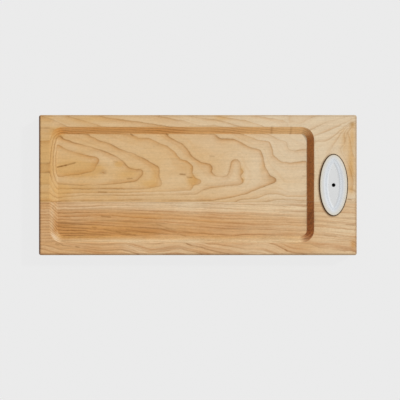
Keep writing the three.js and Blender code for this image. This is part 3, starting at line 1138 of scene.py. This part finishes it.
# Least and most millimetres from one growth line to the next
SPACING_LIMITS = (0.8, 30)


def vectors(points, key):
    """Three numbers of each point of a mesh"""
    numbers = np.empty(len(points) * 3)
    points.foreach_get(key, numbers)
    return numbers.reshape(-1, 3)


def add_figure(mesh, board, look, figure, base_tone):
    """Keeps the wood's figure at each point of a stave's mesh"""
    floor_lines, rim_lines, warm, dark, faint, flecks = figure
    places = vectors(mesh.vertices, "co")
    normals = vectors(mesh.vertex_normals, "vector")
    normals[np.abs(places[:, 1] - glue_line) < NEAR_ZERO, 1] = 0
    plan = places[:, :2]

    # The lines are given at two levels, and run straight through the wood between and beyond them
    floor, floor_slope = growth_sheet(floor_lines)(plan * CENTIMETRES)
    rim, rim_slope = growth_sheet(rim_lines)(plan * CENTIMETRES)
    height = (places[:, 2] - board_top + board.well_depth) / board.well_depth
    growth = floor + height * (rim - floor)
    slope = (floor_slope + height[:, None] * (rim_slope - floor_slope)) * CENTIMETRES
    slope = np.column_stack([slope, (rim - floor) / board.well_depth])
    slope -= (slope * normals).sum(1)[:, None] * normals
    spacing = 1 / (np.linalg.norm(slope, axis=1) * MM)

    warmth, clarity = base_tone(plan, height, floor)
    painted_shading, coarseness = wall_shading(places, normals, board, look)
    kept = {
        "growth": growth,
        "spacing": np.clip(spacing, *SPACING_LIMITS),
        "clarity": clarity * np.clip(1 - spread_patches(plan, faint), 0, 1),
        "coarseness": coarseness,
        "warmth": warmth + spread_patches(plan, warm),
        "shade": spread_patches(plan, dark),
        "fleck": spread_flecks(plan, flecks),
    }
    carry(mesh, kept)
    # Painted shade on the rounds of the outer edges, and the plate's painted shadow around its recess
    dark = np.maximum(painted_edge_shade(places, board), painted_plate_shadow(places, board))[:, None]
    painted_shading *= 1 + dark * (np.array(look.edge) - 1)
    mesh.attributes.new("tint", "FLOAT_VECTOR", "POINT").data.foreach_set("vector", painted_shading.ravel())


# How much more than the floor the left, near, right and far wall show of the fibres and the mottling
WALL_COARSENESS = np.array((1, 1.3, 2.8, 1.2))

# The tilt of the wood at which a wall's painted light and shade starts, and how much more of it brings the
# whole tint
TINT_TILT = 0.25
TINT_TILT_SPAN = 0.3

# How far the right wall's painted shade runs round the far and the near corner, where a smaller power runs
# further, and how much of the near wall's painted light it takes away there
RIGHT_WALL_POWERS = (0.33, 0.9)
RIGHT_WALL_COVER = 0.8

# How much a painted highlight in the near left corner, which faces the light, lifts red, green and blue
# above the walls beside it
NEAR_LEFT_HIGHLIGHT = (0.1, 0.25, 0.55)


def wall_shading(places, normals, board, look):
    """Painted light and shade of each of the well's walls, as a tint, and their coarseness, which turn from
    one into the next at the corners
    """
    low = (narrow_low.x + board.margin_left, narrow_low.y + board.margin_near)
    high = (wide_high.x - board.margin_right, wide_high.y - board.margin_far)
    in_well = ((places[:, :2] > low) & (places[:, :2] < high)).all(1) & (places[:, 2] < board_top)
    tilt = np.hypot(normals[:, 0], normals[:, 1])
    sloping = np.clip((tilt - TINT_TILT) / TINT_TILT_SPAN, 0, 1) * in_well
    facing = normals[:, :2] / np.maximum(tilt, 1e-6)[:, None]
    parts = np.column_stack([np.clip(facing, 0, 1) ** 2, np.clip(-facing, 0, 1) ** 2])
    parts[:, 2] **= np.where(facing[:, 1] > 0, *RIGHT_WALL_POWERS)
    parts[:, 1] *= 1 - RIGHT_WALL_COVER * parts[:, 2]
    parts /= np.maximum(parts.sum(1, keepdims=True), 1e-6)
    walls = np.array([look.left_wall_shading, look.near_wall_light, look.right_wall_shade, look.far_wall_shading])
    corner_highlight = (4 * parts[:, 0] * parts[:, 1])[:, None] * NEAR_LEFT_HIGHLIGHT
    painted_shading = 1 + sloping[:, None] * (parts @ walls * (1 + corner_highlight) - 1)
    return painted_shading, 1 + sloping * (parts @ WALL_COARSENESS - 1)


# How dark the painted shade on the left, near, right and far edge gets, most on the sides away from the
# light.
# It fades over a share of the round, and is gone at so many such shares in from the edge. Down the side it
# fades once it is past half of the round.
EDGE_DARKNESS = (1, 0.45, 0.45, 0.25)
EDGE_FADE = 0.7
EDGE_REACH = 2.15
SIDE_FADE = 6


def painted_edge_shade(places, board):
    """Painted shade on the round along the board's outer edges: most at the left, then near, right and far
    """
    x, y = places[:, 0], places[:, 1]
    half_length, half_width = wide_high.x, wide_high.y
    past = np.column_stack([-x - half_length, -y - half_width, x - half_length, y - half_width])
    beside = np.clip(EDGE_REACH + past / (EDGE_FADE * board.edge_round), 0, 1) * EDGE_DARKNESS
    below = (board_top - places[:, 2]) / board.edge_round
    return beside.max(1) * np.exp(-SIDE_FADE * np.clip(below - 0.5, 0, 9) ** 2)


# Where the light beside the plate comes from, as an angle in plan, how dark the painted shade on the plate's
# edge is halfway round from it, and how much that changes on the side towards the light and away from it
PLATE_LIGHT_TURN = 0.35
PLATE_EDGE_DARKNESS = 0.7
PLATE_EDGE_CHANGE = 0.36


def away_from_light(offset):
    """How far the plate's edge turns away from the light, for places beside the plate's middle"""
    out = offset / np.array(plate_half) ** 2
    out /= np.linalg.norm(out, axis=1, keepdims=True)
    light = np.array((math.cos(PLATE_LIGHT_TURN), math.sin(PLATE_LIGHT_TURN)))
    return np.clip(PLATE_EDGE_DARKNESS - PLATE_EDGE_CHANGE * out @ light, 0, 1)


# How far beside the plate the wood is looked at for the painted shadow around its recess
NEAR_PLATE = 5 * MM


def painted_plate_shadow(places, board):
    """Painted shadow of the plate on the wood around it, and painted shade on the recess's walls, most away
    from the light
    """
    beside = oval(-board.recess_gap - board.recess_ease, RECESS_STEPS) + (plate_x, 0)
    offset = places[:, :2] - (plate_x, 0)
    near = (np.abs(offset) < (plate_high.x - plate_x + NEAR_PLATE, plate_high.y + NEAR_PLATE)).all(1)
    near &= places[:, 2] > board_top - board.well_depth
    dark = np.zeros(len(places))
    away = np.linalg.norm(places[near, None, :2] - beside, axis=2).min(1)
    inside_wall = places[near, 2] < board_top - 0.5 * board.recess_ease
    shown = np.maximum(away_from_light(offset[near]) ** 4, inside_wall)
    dark[near] = np.clip(1.5 - away / board.recess_shadow, 0, 1) * shown
    return dark


# Millimetres from the board's middle, and the warmth of the wide stave's floor there
WIDE_PLACES = (-170, -11, 75, 133)
WIDE_TONES = (0.7, 0.6, 0.26, 0.06)


def wide_warmth(plan, height, _growth):
    """The wide stave is tan at its left end and paler to the right, and more so on its far rim"""
    x, y = plan.T / MM
    left_rim = np.clip((-205 - x) / 8, 0, 1)
    far_rim = np.clip((y - 80) / 6, 0, 1)
    warmth = np.interp(x, WIDE_PLACES, WIDE_TONES) + height * (0.25 * left_rim - 0.2 * far_rim)

    # The lines are fainter beside the glue line, and on the rim
    clarity = np.interp(y, (-15, 5), (0.75, 0.95))
    lost = np.interp(x, (-212, -202, -60, 60), (0, 0.2, 0.2, 0.33))
    return warmth, clarity * (1 - lost * np.clip(height * 2 - 1, 0, 1))


# The same of the narrow stave, at three places along the board for each growth line that starts a row
NARROW_PLACES = (-198, -26, 147)
NARROW_TONES = (
    (0.9, 0.5, 0.1, 0),
    (1.4, 0.5, 0.27, 0.2),
    (2.3, 0.75, 0.62, 0.26),
    (4, 0.9, 0.9, 0.45),
    (8, 1.1, 0.65, 0.3),
)


def narrow_warmth(plan, height, growth):
    """The narrow stave is pale along the glue line and pinker towards the near edge, and its rim is
    nearly even"""
    x = plan[:, 0] / MM
    warmth = np.interp(x, NARROW_PLACES, NARROW_TONES[0][1:])
    for (start, *_), (end, *tones) in zip(NARROW_TONES, NARROW_TONES[1:]):
        part = np.clip((growth - start) / (end - start), 0, 1)
        warmth += part * (np.interp(x, NARROW_PLACES, tones) - warmth)

    # The rim has tones of its own, and the near wall is paler around three quarters of its height
    rim = np.interp(x, (*NARROW_PLACES, 190), (0.85, 0.58, 0.56, 0.36))
    wall = np.clip(1 - np.abs(height - 0.75) / 0.5, 0, 1)
    clarity = np.interp(x, NARROW_PLACES, (1, 0.78, 0.62))
    clarity *= np.interp(growth, (0, 5, 7), (0.52, 0.64, 1.15))
    rim_clarity = np.interp(x, (-205, -195, 150, 170), (0.5, 0.75, 0.75, 0.55))
    on_rim = np.clip(height * 1.3, 0, 1)
    clarity += on_rim * (rim_clarity - clarity)
    return warmth + on_rim * (rim - warmth) - 0.35 * wall, clarity


# Shapes


# Steps around the board's corners and over its edges, down its sides, around the well's corners, down
# its walls, around a quarter of the plate's recess, and around the holes of the bush and the screws
EDGE_STEPS = 6
SIDE_STEPS = 8
WELL_CORNER_STEPS = 14
WALL_STEPS = 10
RECESS_STEPS = 30
BUSH_HOLE_STEPS = 40
PILOT_STEPS = 20

# Distance between the points of flat faces that stay hidden
HIDDEN_STEP = 3 * MM


def board_shell(board):
    """The whole board, with the fine mesh that its figure needs"""
    shell = Shell()
    step = board.mesh_step
    low = (narrow_low.x, narrow_low.y)
    high = (wide_high.x, wide_high.y)
    counts = (*np.round(np.subtract(high, low) / step).astype(int), EDGE_STEPS)

    def outer(inset, level):
        return shell.ring(rounded_rectangle(low, high, inset, board.corner_radius, counts), level)

    radius = board.edge_round
    turn = round_over(radius, EDGE_STEPS)
    upper = [outer(inset, board_top - drop) for inset, drop in turn]
    levels = np.linspace(board_top - radius, board_bottom + radius, SIDE_STEPS + 1)
    sides = [outer(0, level) for level in levels[1:-1]]
    lower = [outer(drop, board_bottom + inset) for inset, drop in turn]
    shell.strips(upper + sides + lower)

    # Well: a rounded rim, a straight slope and a small round at its foot
    well_low = np.add(low, (board.margin_left, board.margin_near))
    well_high = np.subtract(high, (board.margin_right, board.margin_far))
    well_counts = (*np.round((well_high - well_low) / step).astype(int), WELL_CORNER_STEPS)
    slope = np.array((board.wall_width, board.well_depth - board.rim_ease_drop))
    slope /= np.linalg.norm(slope)
    wall_foot = np.array((board.rim_ease + board.wall_width, board.well_depth))
    wall_head = wall_foot - slope * board.well_depth / slope[1]
    rim_turn = bend(wall_head, (-1, 0), slope, board.rim_ease)
    foot_turn = bend(wall_foot, -slope, (1, 0), board.foot_round)
    wall = np.linspace(rim_turn[-1], foot_turn[0], WALL_STEPS + 1)[1:-1]
    well = []
    for inset, depth in (*rim_turn, *wall, *foot_turn):
        outline = rounded_rectangle(well_low, well_high, inset, board.well_corner, well_counts)
        well.append(shell.ring(outline, board_top - depth))
    shell.strips(well)
    shell.sheet([well[-1]], step)

    # Recess for the plate, and the hole for its bush
    shift = np.array((plate_x, 0))
    eased = board.recess_gap + board.recess_ease
    recess = []
    for reach in (eased + board.recess_shadow, eased):
        recess.append(shell.ring(oval(-reach, RECESS_STEPS) + shift, board_top))
    for level in np.linspace(board_top - board.recess_ease, bond_low.z, 4):
        recess.append(shell.ring(oval(-board.recess_gap, RECESS_STEPS) + shift, level))
    shell.strips(recess)
    outline = circle(bush_radius + board.bush_room, BUSH_HOLE_STEPS, shift)
    hole = [shell.ring(outline, level) for level in (bond_low.z, bush_low.z)]
    shell.strips(hole)
    shell.sheet([recess[-1], hole[0]], HIDDEN_STEP)
    shell.sheet([hole[1]], HIDDEN_STEP)
    shell.sheet([upper[0], well[0], recess[0]], step)

    # Underside with its pilot holes
    pilot_radius = bpy.context.scene.fixing_sizes.shank_radius + board.pilot_room
    pilots = []
    for x, y in ((-foot_x, foot_y), (foot_x, foot_y), (-foot_x, -foot_y), (foot_x, -foot_y)):
        outline = circle(pilot_radius, PILOT_STEPS, (x, y))
        pilot = [shell.ring(outline, level) for level in (board_bottom, screw_high.z + board.pilot_spare)]
        shell.strips(pilot)
        shell.sheet([pilot[1]], HIDDEN_STEP)
        pilots.append(pilot[0])
    shell.sheet([lower[-1], *pilots], board.under_step)
    return shell


def stave_mesh(name, shell, side):
    """The part of the board on one side of the glue line, closed where it is cut"""
    made = shell.to_bmesh()
    everything = made.verts[:] + made.edges[:] + made.faces[:]
    cut = bmesh.ops.bisect_plane(
        made,
        geom=everything,
        dist=SAME_POINT,
        plane_co=(0, glue_line, 0),
        plane_no=(0, side, 0),
        clear_inner=True,
    )
    edges = [item for item in cut["geom_cut"] if isinstance(item, bmesh.types.BMEdge)]
    bmesh.ops.triangle_fill(made, use_beauty=True, edges=edges)
    return finished_mesh(name, made)


# Steps around a quarter of the plate, and the angle in degrees from which its corners stay sharp
PLATE_STEPS = 40
PLATE_SHARP = 50


def plate_blank(plate):
    """The plate before its steps are pressed: a closed flat oval with a socket hole, whose points carry
    their inset from the oval's edge, whether they lie in the hole, which is painted black as shade, and how
    much of the edge's brown they take: unglazed below, and painted shade on the side away from the light"""
    shell = Shell()
    rings, insets = [], []
    around = 4 * PLATE_STEPS
    radius = plate.edge_round
    top, bottom = plate_high.z, plate_low.z

    def add_ring(outline, level, carried=0.0):
        rings.append(shell.ring(outline, level))
        insets.extend([carried] * len(outline))

    turn = round_over(radius, 5)
    for inset, drop in turn:
        add_ring(oval(inset, PLATE_STEPS), bottom + drop)
    for inset, drop in turn:
        add_ring(oval(drop, PLATE_STEPS), top - inset)
    first = plate.rim_band
    second = first + plate.inner_band
    stretches = ((first, 4), (first + plate.rim_slope, 7), (second, 3), (second + plate.inner_slope, 8))
    stops = [radius]
    for end, steps in stretches:
        stops += list(np.linspace(stops[-1], end, steps + 1)[1:])
    for inset in stops[1:]:
        add_ring(oval(inset, PLATE_STEPS), top, inset)

    # From the lens-shaped middle to the socket, over its lip and down the hole
    dished = stops[-1]
    lens = oval(dished, PLATE_STEPS)
    mouth = circle(plate.socket_radius + plate.socket_lip, around)
    for part in np.linspace(0, 1, 12)[1:]:
        add_ring(lens + part * (mouth - lens), top, dished)
    # From here on the lip and the hole are painted black, as the shade deep in the socket
    black = len(shell.points)
    for inset, drop in round_over(plate.socket_lip, 4)[1:]:
        add_ring(circle(plate.socket_radius + inset, around), top - drop, dished)
    for level in ((top + bottom) / 2, bottom):
        add_ring(circle(plate.socket_radius, around), level)
    shell.strips([*rings, rings[0]])

    places = np.array(shell.points)
    # The edge's brown: full below, and above it partly painted shade, strongest on the side away from the
    # light
    edge = (places[:, 2] < top - 2 * NEAR_ZERO) & (np.hypot(*places[:, :2].T) > plate.rim_band * 2)
    lower_edge = places[:, 2] < top - 0.9 * radius
    unglazed_or_shaded = edge * np.maximum(0.5 + 0.5 * away_from_light(places[:, :2]), lower_edge)
    mesh = finished_mesh("plate_blank", shell.to_bmesh(), PLATE_SHARP)
    carry(mesh, {"inset": insets, "hole": np.arange(len(places)) >= black, "rim": unglazed_or_shaded})
    return mesh


# Size of the small round along a foot's upper edge
FOOT_LIP = 0.3 * MM


def foot_profile(fixings):
    """Radius and level pairs of a rubber foot, around its hollow for the screw"""
    head = head_radius + fixings.head_room
    shank = fixings.shank_radius + fixings.head_room
    top = foot_high.z
    seat = top - fixings.foot_seat
    edge = fixings.foot_edge
    under = fixings.foot_under
    outside = (foot_high.x - foot_low.x) / 2
    depth = fixings.groove_depth
    profile = [(head, 0)]
    for middle in np.linspace(head, under - edge, 5)[1:-1]:
        profile += [(middle - depth, 0), (middle - 0.5 * depth, depth)]
        profile += [(middle + 0.5 * depth, depth), (middle + depth, 0)]
    profile += [(under - inset, drop) for inset, drop in round_over(edge, 4)]
    profile += [(outside - 0.2 * FOOT_LIP, top - FOOT_LIP), (outside, top - 0.6 * FOOT_LIP)]
    profile += [(outside - FOOT_LIP, top), (shank, top), (shank, seat), (head, seat)]
    return profile


def rubber_foot(fixings):
    """One foot about the upright axis"""
    shell = Shell()
    rings = shell.circles(foot_profile(fixings), 56)
    shell.strips([*rings, rings[0]])
    return finished_mesh("foot", shell.to_bmesh())


# The thread's ridge falls to the core within its pitch divided by this, and starts over this length
THREAD_SHARPNESS = 3.2
THREAD_RUN_IN = 0.8 * MM


def threaded_shank(shell, fixings, start, tip, count, rows=70):
    """Rings of a screw's shank, whose radius rises and falls along the thread"""
    rings = []
    for level in np.linspace(start, tip, rows, endpoint=False):
        angle = np.arange(count) / count
        turn = (level - start) / fixings.thread_pitch - angle
        ridge = np.maximum(0, 1 - np.abs(turn - np.round(turn)) * THREAD_SHARPNESS)
        taper = min(1, (tip - level) / fixings.point)
        run_in = min(1, (level - start) / THREAD_RUN_IN)
        core = fixings.shank_radius - fixings.thread_depth * (1 - 0.999 * ridge * run_in)
        outline = circle(1, count) * (core * taper)[:, None]
        rings.append(shell.ring(outline, level))
    return rings


def foot_screw(fixings, count=32):
    """One screw about the upright axis, head down, before its drive cross is cut"""
    shell = Shell()
    bottom, tip = screw_low.z, screw_high.z
    seat = bottom + fixings.head_height
    profile = [(head_radius * part, bottom) for part in (0.25, 0.5)]
    for inset, drop in round_over(fixings.head_round, 5):
        profile.append((head_radius - inset, bottom + drop))
    profile.append((head_radius, seat))
    rings = shell.circles(profile, count)
    rings += threaded_shank(shell, fixings, seat, tip, count)
    shell.strips(rings)
    shell.cap(rings[0], bottom)
    shell.cap(rings[-1], tip)
    return finished_mesh("screw", shell.to_bmesh())


# How far the cross stands out of the screw's head, so that it cuts cleanly
CUT_CLEARANCE = 0.5 * MM


def drive_cross(fixings):
    """The cross that is cut into a screw's head. At its bottom it is half as long and two thirds as wide."""
    made = bmesh.new()
    half_length, half_width = fixings.slot_length / 2, fixings.slot_width / 2
    for lengthwise in (False, True):
        for corner in bmesh.ops.create_cube(made, size=1)["verts"]:
            deep = corner.co.z > 0
            inward = 1 - 0.5 * deep
            x = corner.co.x * 2 * half_length * inward
            y = corner.co.y * 2 * half_width * (0.3 + 0.7 * inward)
            corner.co.x, corner.co.y = (x, y) if lengthwise else (y, x)
            corner.co.z = screw_low.z + (fixings.slot_depth if deep else -CUT_CLEARANCE)
    return finished_mesh("cross", made)


def cut_cross(fixings):
    """The screw with its drive cross cut"""
    screw = show("screw_blank", foot_screw(fixings))
    cross = show("cross", drive_cross(fixings))
    cut = screw.modifiers.new("Cross", "BOOLEAN")
    cut.operation = "DIFFERENCE"
    cut.solver = "EXACT"
    cut.use_self = True
    cut.object = cross
    mesh = evaluated_mesh(screw)
    bpy.data.objects.remove(screw)
    bpy.data.objects.remove(cross)
    shade(mesh)
    return mesh


# Size of the small slopes along the bush's outer edges
BUSH_EDGE = 0.25 * MM


def bush_profile(plate):
    """Radius and level pairs of the socket's bush, with grip ribs in its bore"""
    side = bush_radius - BUSH_EDGE
    bottom, top = bush_low.z, bush_high.z
    floor = bottom + plate.bush_floor
    bore, lead, rib = plate.bush_bore, plate.bush_lead, plate.bush_rib
    profile = [(0, bottom), (side, bottom), (bush_radius, bottom + BUSH_EDGE)]
    profile += [(bush_radius, top - BUSH_EDGE), (side, top), (bore + lead, top), (bore, top - lead)]
    for level in np.linspace(top - lead, floor, plate.bush_ribs + 2)[1:-1]:
        profile += [(bore, level + 2 * rib), (bore - rib, level + rib / 2)]
        profile += [(bore - rib, level - rib / 2), (bore, level - 2 * rib)]
    profile += [(bore, floor), (0, floor)]
    return profile


# Operators


# The wide stave's share of the streaks and of the fibres that the narrow stave shows
WIDE_STREAKS = 0.3
WIDE_FIBRES = 0.65


class BOARD_OT_staves(bpy.types.Operator):
    """Make the wide and the narrow stave, with the well, the recess and the wood's figure"""

    bl_idname = "serving_board.staves"
    bl_label = "Staves"

    def execute(self, context):
        board, look = context.scene.board_sizes, context.scene.wood_colours
        shell = board_shell(board)
        wide = stave_mesh("wide_stave", shell, 1)
        add_figure(wide, board, look, WIDE_FIGURE, wide_warmth)
        narrow = stave_mesh("narrow_stave", shell, -1)
        add_figure(narrow, board, look, NARROW_FIGURE, narrow_warmth)
        wide_tones = (look.pale, look.tan, look.late, look.line)
        near_tones = (look.near_pale, look.near_tan, look.near_late, look.near_line)
        streaks, fibres = look.streak_strength, look.fibre_strength
        maple = stave_material("maple", look, wide_tones, WIDE_STREAKS * streaks, WIDE_FIBRES * fibres)
        pink_maple = stave_material("pink_maple", look, near_tones, streaks, fibres)
        settle(show("wide_stave", wide, maple), "maple", "stave_wide")
        settle(show("narrow_stave", narrow, pink_maple), "pink_maple", "stave_narrow")
        return {"FINISHED"}


class BOARD_OT_plate(bpy.types.Operator):
    """Make the glazed oval plate, with its steps pressed by Geometry Nodes"""

    bl_idname = "serving_board.plate"
    bl_label = "Oval plate"

    def execute(self, context):
        plate = context.scene.plate_sizes
        glaze = glaze_material(context.scene.piece_colours)
        settings = {name: getattr(plate, name) for name in DISH_SIZES}
        mesh = grown("glazed_plate", plate_blank(plate), dish_tree(glaze), **settings)
        mesh.transform(Matrix.Translation((plate_x, 0, 0)))
        mesh.set_sharp_from_angle(angle=math.radians(PLATE_SHARP))
        settle(show("glazed_plate", mesh), "glaze", "oval_plate")
        return {"FINISHED"}


class BOARD_OT_socket(bpy.types.Operator):
    """Make the ribbed rubber bush under the socket, and finish the plate's elastic bed"""

    bl_idname = "serving_board.socket"
    bl_label = "Socket and bed"

    def execute(self, context):
        colours = context.scene.piece_colours
        rubber = soft_material("bush_rubber", colours.bush, 0.75, 1600, 0.03 * MM)
        shell = turned(bush_profile(context.scene.plate_sizes), 48, (plate_x, 0))
        mesh = finished_mesh("socket_rubber", shell.to_bmesh())
        settle(show("socket_rubber", mesh, rubber), "black_rubber", "socket_bush")
        silicone = soft_material("silicone", colours.silicone, 0.5, 700, 0.02 * MM)
        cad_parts["plate_bond"].material_slots[0].material = silicone
        return {"FINISHED"}


class BOARD_OT_feet(bpy.types.Operator):
    """Make the four rubber feet, set at the board's corners by Geometry Nodes"""

    bl_idname = "serving_board.feet"
    bl_label = "Feet"

    def execute(self, context):
        colours = context.scene.piece_colours
        rubber = soft_material("foot_rubber", colours.foot, 0.8, 1200, 0.04 * MM)
        mesh = at_four_corners("rubber_feet", rubber_foot(context.scene.fixing_sizes), rubber, 0, 1)
        settle(show("rubber_feet", mesh), "grey_rubber", *(f"foot_{corner}" for corner in CORNERS))
        return {"FINISHED"}


class BOARD_OT_screws(bpy.types.Operator):
    """Make the four foot screws, each turned home at its own angle by Geometry Nodes"""

    bl_idname = "serving_board.screws"
    bl_label = "Foot screws"

    def execute(self, context):
        steel = steel_material(context.scene.piece_colours)
        screw = cut_cross(context.scene.fixing_sizes)
        mesh = at_four_corners("threaded_screws", screw, steel, math.pi, 4)
        settle(show("threaded_screws", mesh), "steel", *(f"foot_screw_{corner}" for corner in CORNERS))
        return {"FINISHED"}


def empty_wiring(holder):
    """Wiring for a material or a world that has no nodes yet"""
    holder.use_nodes = True
    holder.node_tree.nodes.clear()
    return Wiring(holder.node_tree)


def seen_directly(wiring):
    """One where the camera sees, also in a gloss or through something clear, and none for the light"""
    path = wiring.add("ShaderNodeLightPath").outputs
    seen = wiring.math("MAXIMUM", path["Is Camera Ray"], path["Is Glossy Ray"])
    return wiring.math("MAXIMUM", seen, path["Is Transmission Ray"])


# Shares of open sky at which the shade in the gap under the board is deepest, and is gone
GAP_SKY = (0.1, 0.42)


def floor_material(stage):
    """A pale floor: the camera sees mostly its own even paleness, which darkens in the gap under the
    board, and a share that the lamps light"""
    material = bpy.data.materials.new("floor")
    wiring = empty_wiring(material)
    tone = [*stage.backdrop, 1]
    lit = wiring.add("ShaderNodeBsdfDiffuse", {"Color": tone}).outputs[0]
    sky = wiring.add("ShaderNodeAmbientOcclusion", {"Distance": stage.gap_reach}, samples=8).outputs["AO"]
    shade_left = wiring.fit(sky, *GAP_SKY, stage.gap_shade, 1)
    even = wiring.add("ShaderNodeEmission", {"Color": tone, "Strength": shade_left}).outputs[0]
    amount = wiring.times(seen_directly(wiring), 1 - stage.shadow)
    above = wiring.add("ShaderNodeMixShader", {0: amount, 1: lit, 2: even}).outputs[0]
    clear = wiring.add("ShaderNodeBsdfTransparent").outputs[0]
    below = wiring.add("ShaderNodeNewGeometry").outputs["Backfacing"]
    mixed = wiring.add("ShaderNodeMixShader", {0: below, 1: above, 2: clear}).outputs[0]
    wiring.add("ShaderNodeOutputMaterial", {"Surface": mixed})
    return material


def studio_world(stage):
    """Even light from all round, with the backdrop's paleness where the camera or a gloss sees it"""
    world = bpy.data.worlds.new("studio")
    wiring = empty_wiring(world)
    light = {"Color": (1, 1, 1, 1), "Strength": stage.fill_light}
    fill = wiring.add("ShaderNodeBackground", light).outputs[0]
    paleness = {"Color": [*stage.backdrop, 1], "Strength": 1}
    behind = wiring.add("ShaderNodeBackground", paleness).outputs[0]
    inputs = {0: seen_directly(wiring), 1: fill, 2: behind}
    mixed = wiring.add("ShaderNodeMixShader", inputs).outputs[0]
    wiring.add("ShaderNodeOutputWorld", {"Surface": mixed})
    return world


class BOARD_OT_stage(bpy.types.Operator):
    """Make the floor, the light and the camera straight above"""

    bl_idname = "serving_board.stage"
    bl_label = "Stage"

    def execute(self, context):
        scene = context.scene
        stage = scene.stage_look
        scene.view_settings.view_transform = "Standard"
        made = bmesh.new()
        bmesh.ops.create_grid(made, x_segments=1, y_segments=1, size=stage.floor_size / 2)
        floor = show("floor", finished_mesh("floor", made), floor_material(stage))
        scene.world = studio_world(stage)

        key = bpy.data.lights.new("key", "SUN")
        key.energy = stage.key_light
        key.angle = stage.key_softness
        show("key", key).rotation_euler = (0, math.pi / 2 - stage.key_height, stage.key_turn)

        lens = bpy.data.cameras.new("camera")
        lens.lens = stage.lens
        camera = show("camera", lens)
        reach = stage.lens / lens.sensor_width * FRAME_PIXELS * PIXEL
        x, y = from_pixels((stage.camera_x, stage.camera_y))
        camera.location = (x, y, board_top - scene.board_sizes.edge_round + reach)
        scene.camera = camera
        return {"FINISHED"}


class BOARD_PT_panel(bpy.types.Panel):
    """Lists the pieces that can be made"""

    bl_idname = "BOARD_PT_panel"
    bl_label = "Serving Board"
    bl_space_type = "VIEW_3D"
    bl_region_type = "UI"
    bl_category = "Serving Board"

    def draw(self, context):
        for operator in OPERATORS:
            self.layout.operator(operator.bl_idname)


OPERATORS = (
    BOARD_OT_stage,
    BOARD_OT_staves,
    BOARD_OT_plate,
    BOARD_OT_socket,
    BOARD_OT_feet,
    BOARD_OT_screws,
)
GROUPS = {
    "board_sizes": BoardSizes,
    "plate_sizes": PlateSizes,
    "fixing_sizes": FixingSizes,
    "wood_colours": WoodColours,
    "piece_colours": PieceColours,
    "stage_look": StageLook,
}


def register():
    """Adds the classes, and the sizes and colours to each scene"""
    for made in (*GROUPS.values(), *OPERATORS, BOARD_PT_panel):
        bpy.utils.register_class(made)
    for name, group in GROUPS.items():
        setattr(bpy.types.Scene, name, PointerProperty(type=group))


def unregister():
    """Takes them away again"""
    for name in GROUPS:
        delattr(bpy.types.Scene, name)
    for made in reversed((*GROUPS.values(), *OPERATORS, BOARD_PT_panel)):
        bpy.utils.unregister_class(made)


def main():
    """Makes every piece"""
    register()
    bpy.ops.serving_board.stage()
    bpy.ops.serving_board.staves()
    bpy.ops.serving_board.plate()
    bpy.ops.serving_board.socket()
    bpy.ops.serving_board.feet()
    bpy.ops.serving_board.screws()


if __name__ == "__main__":
    main()
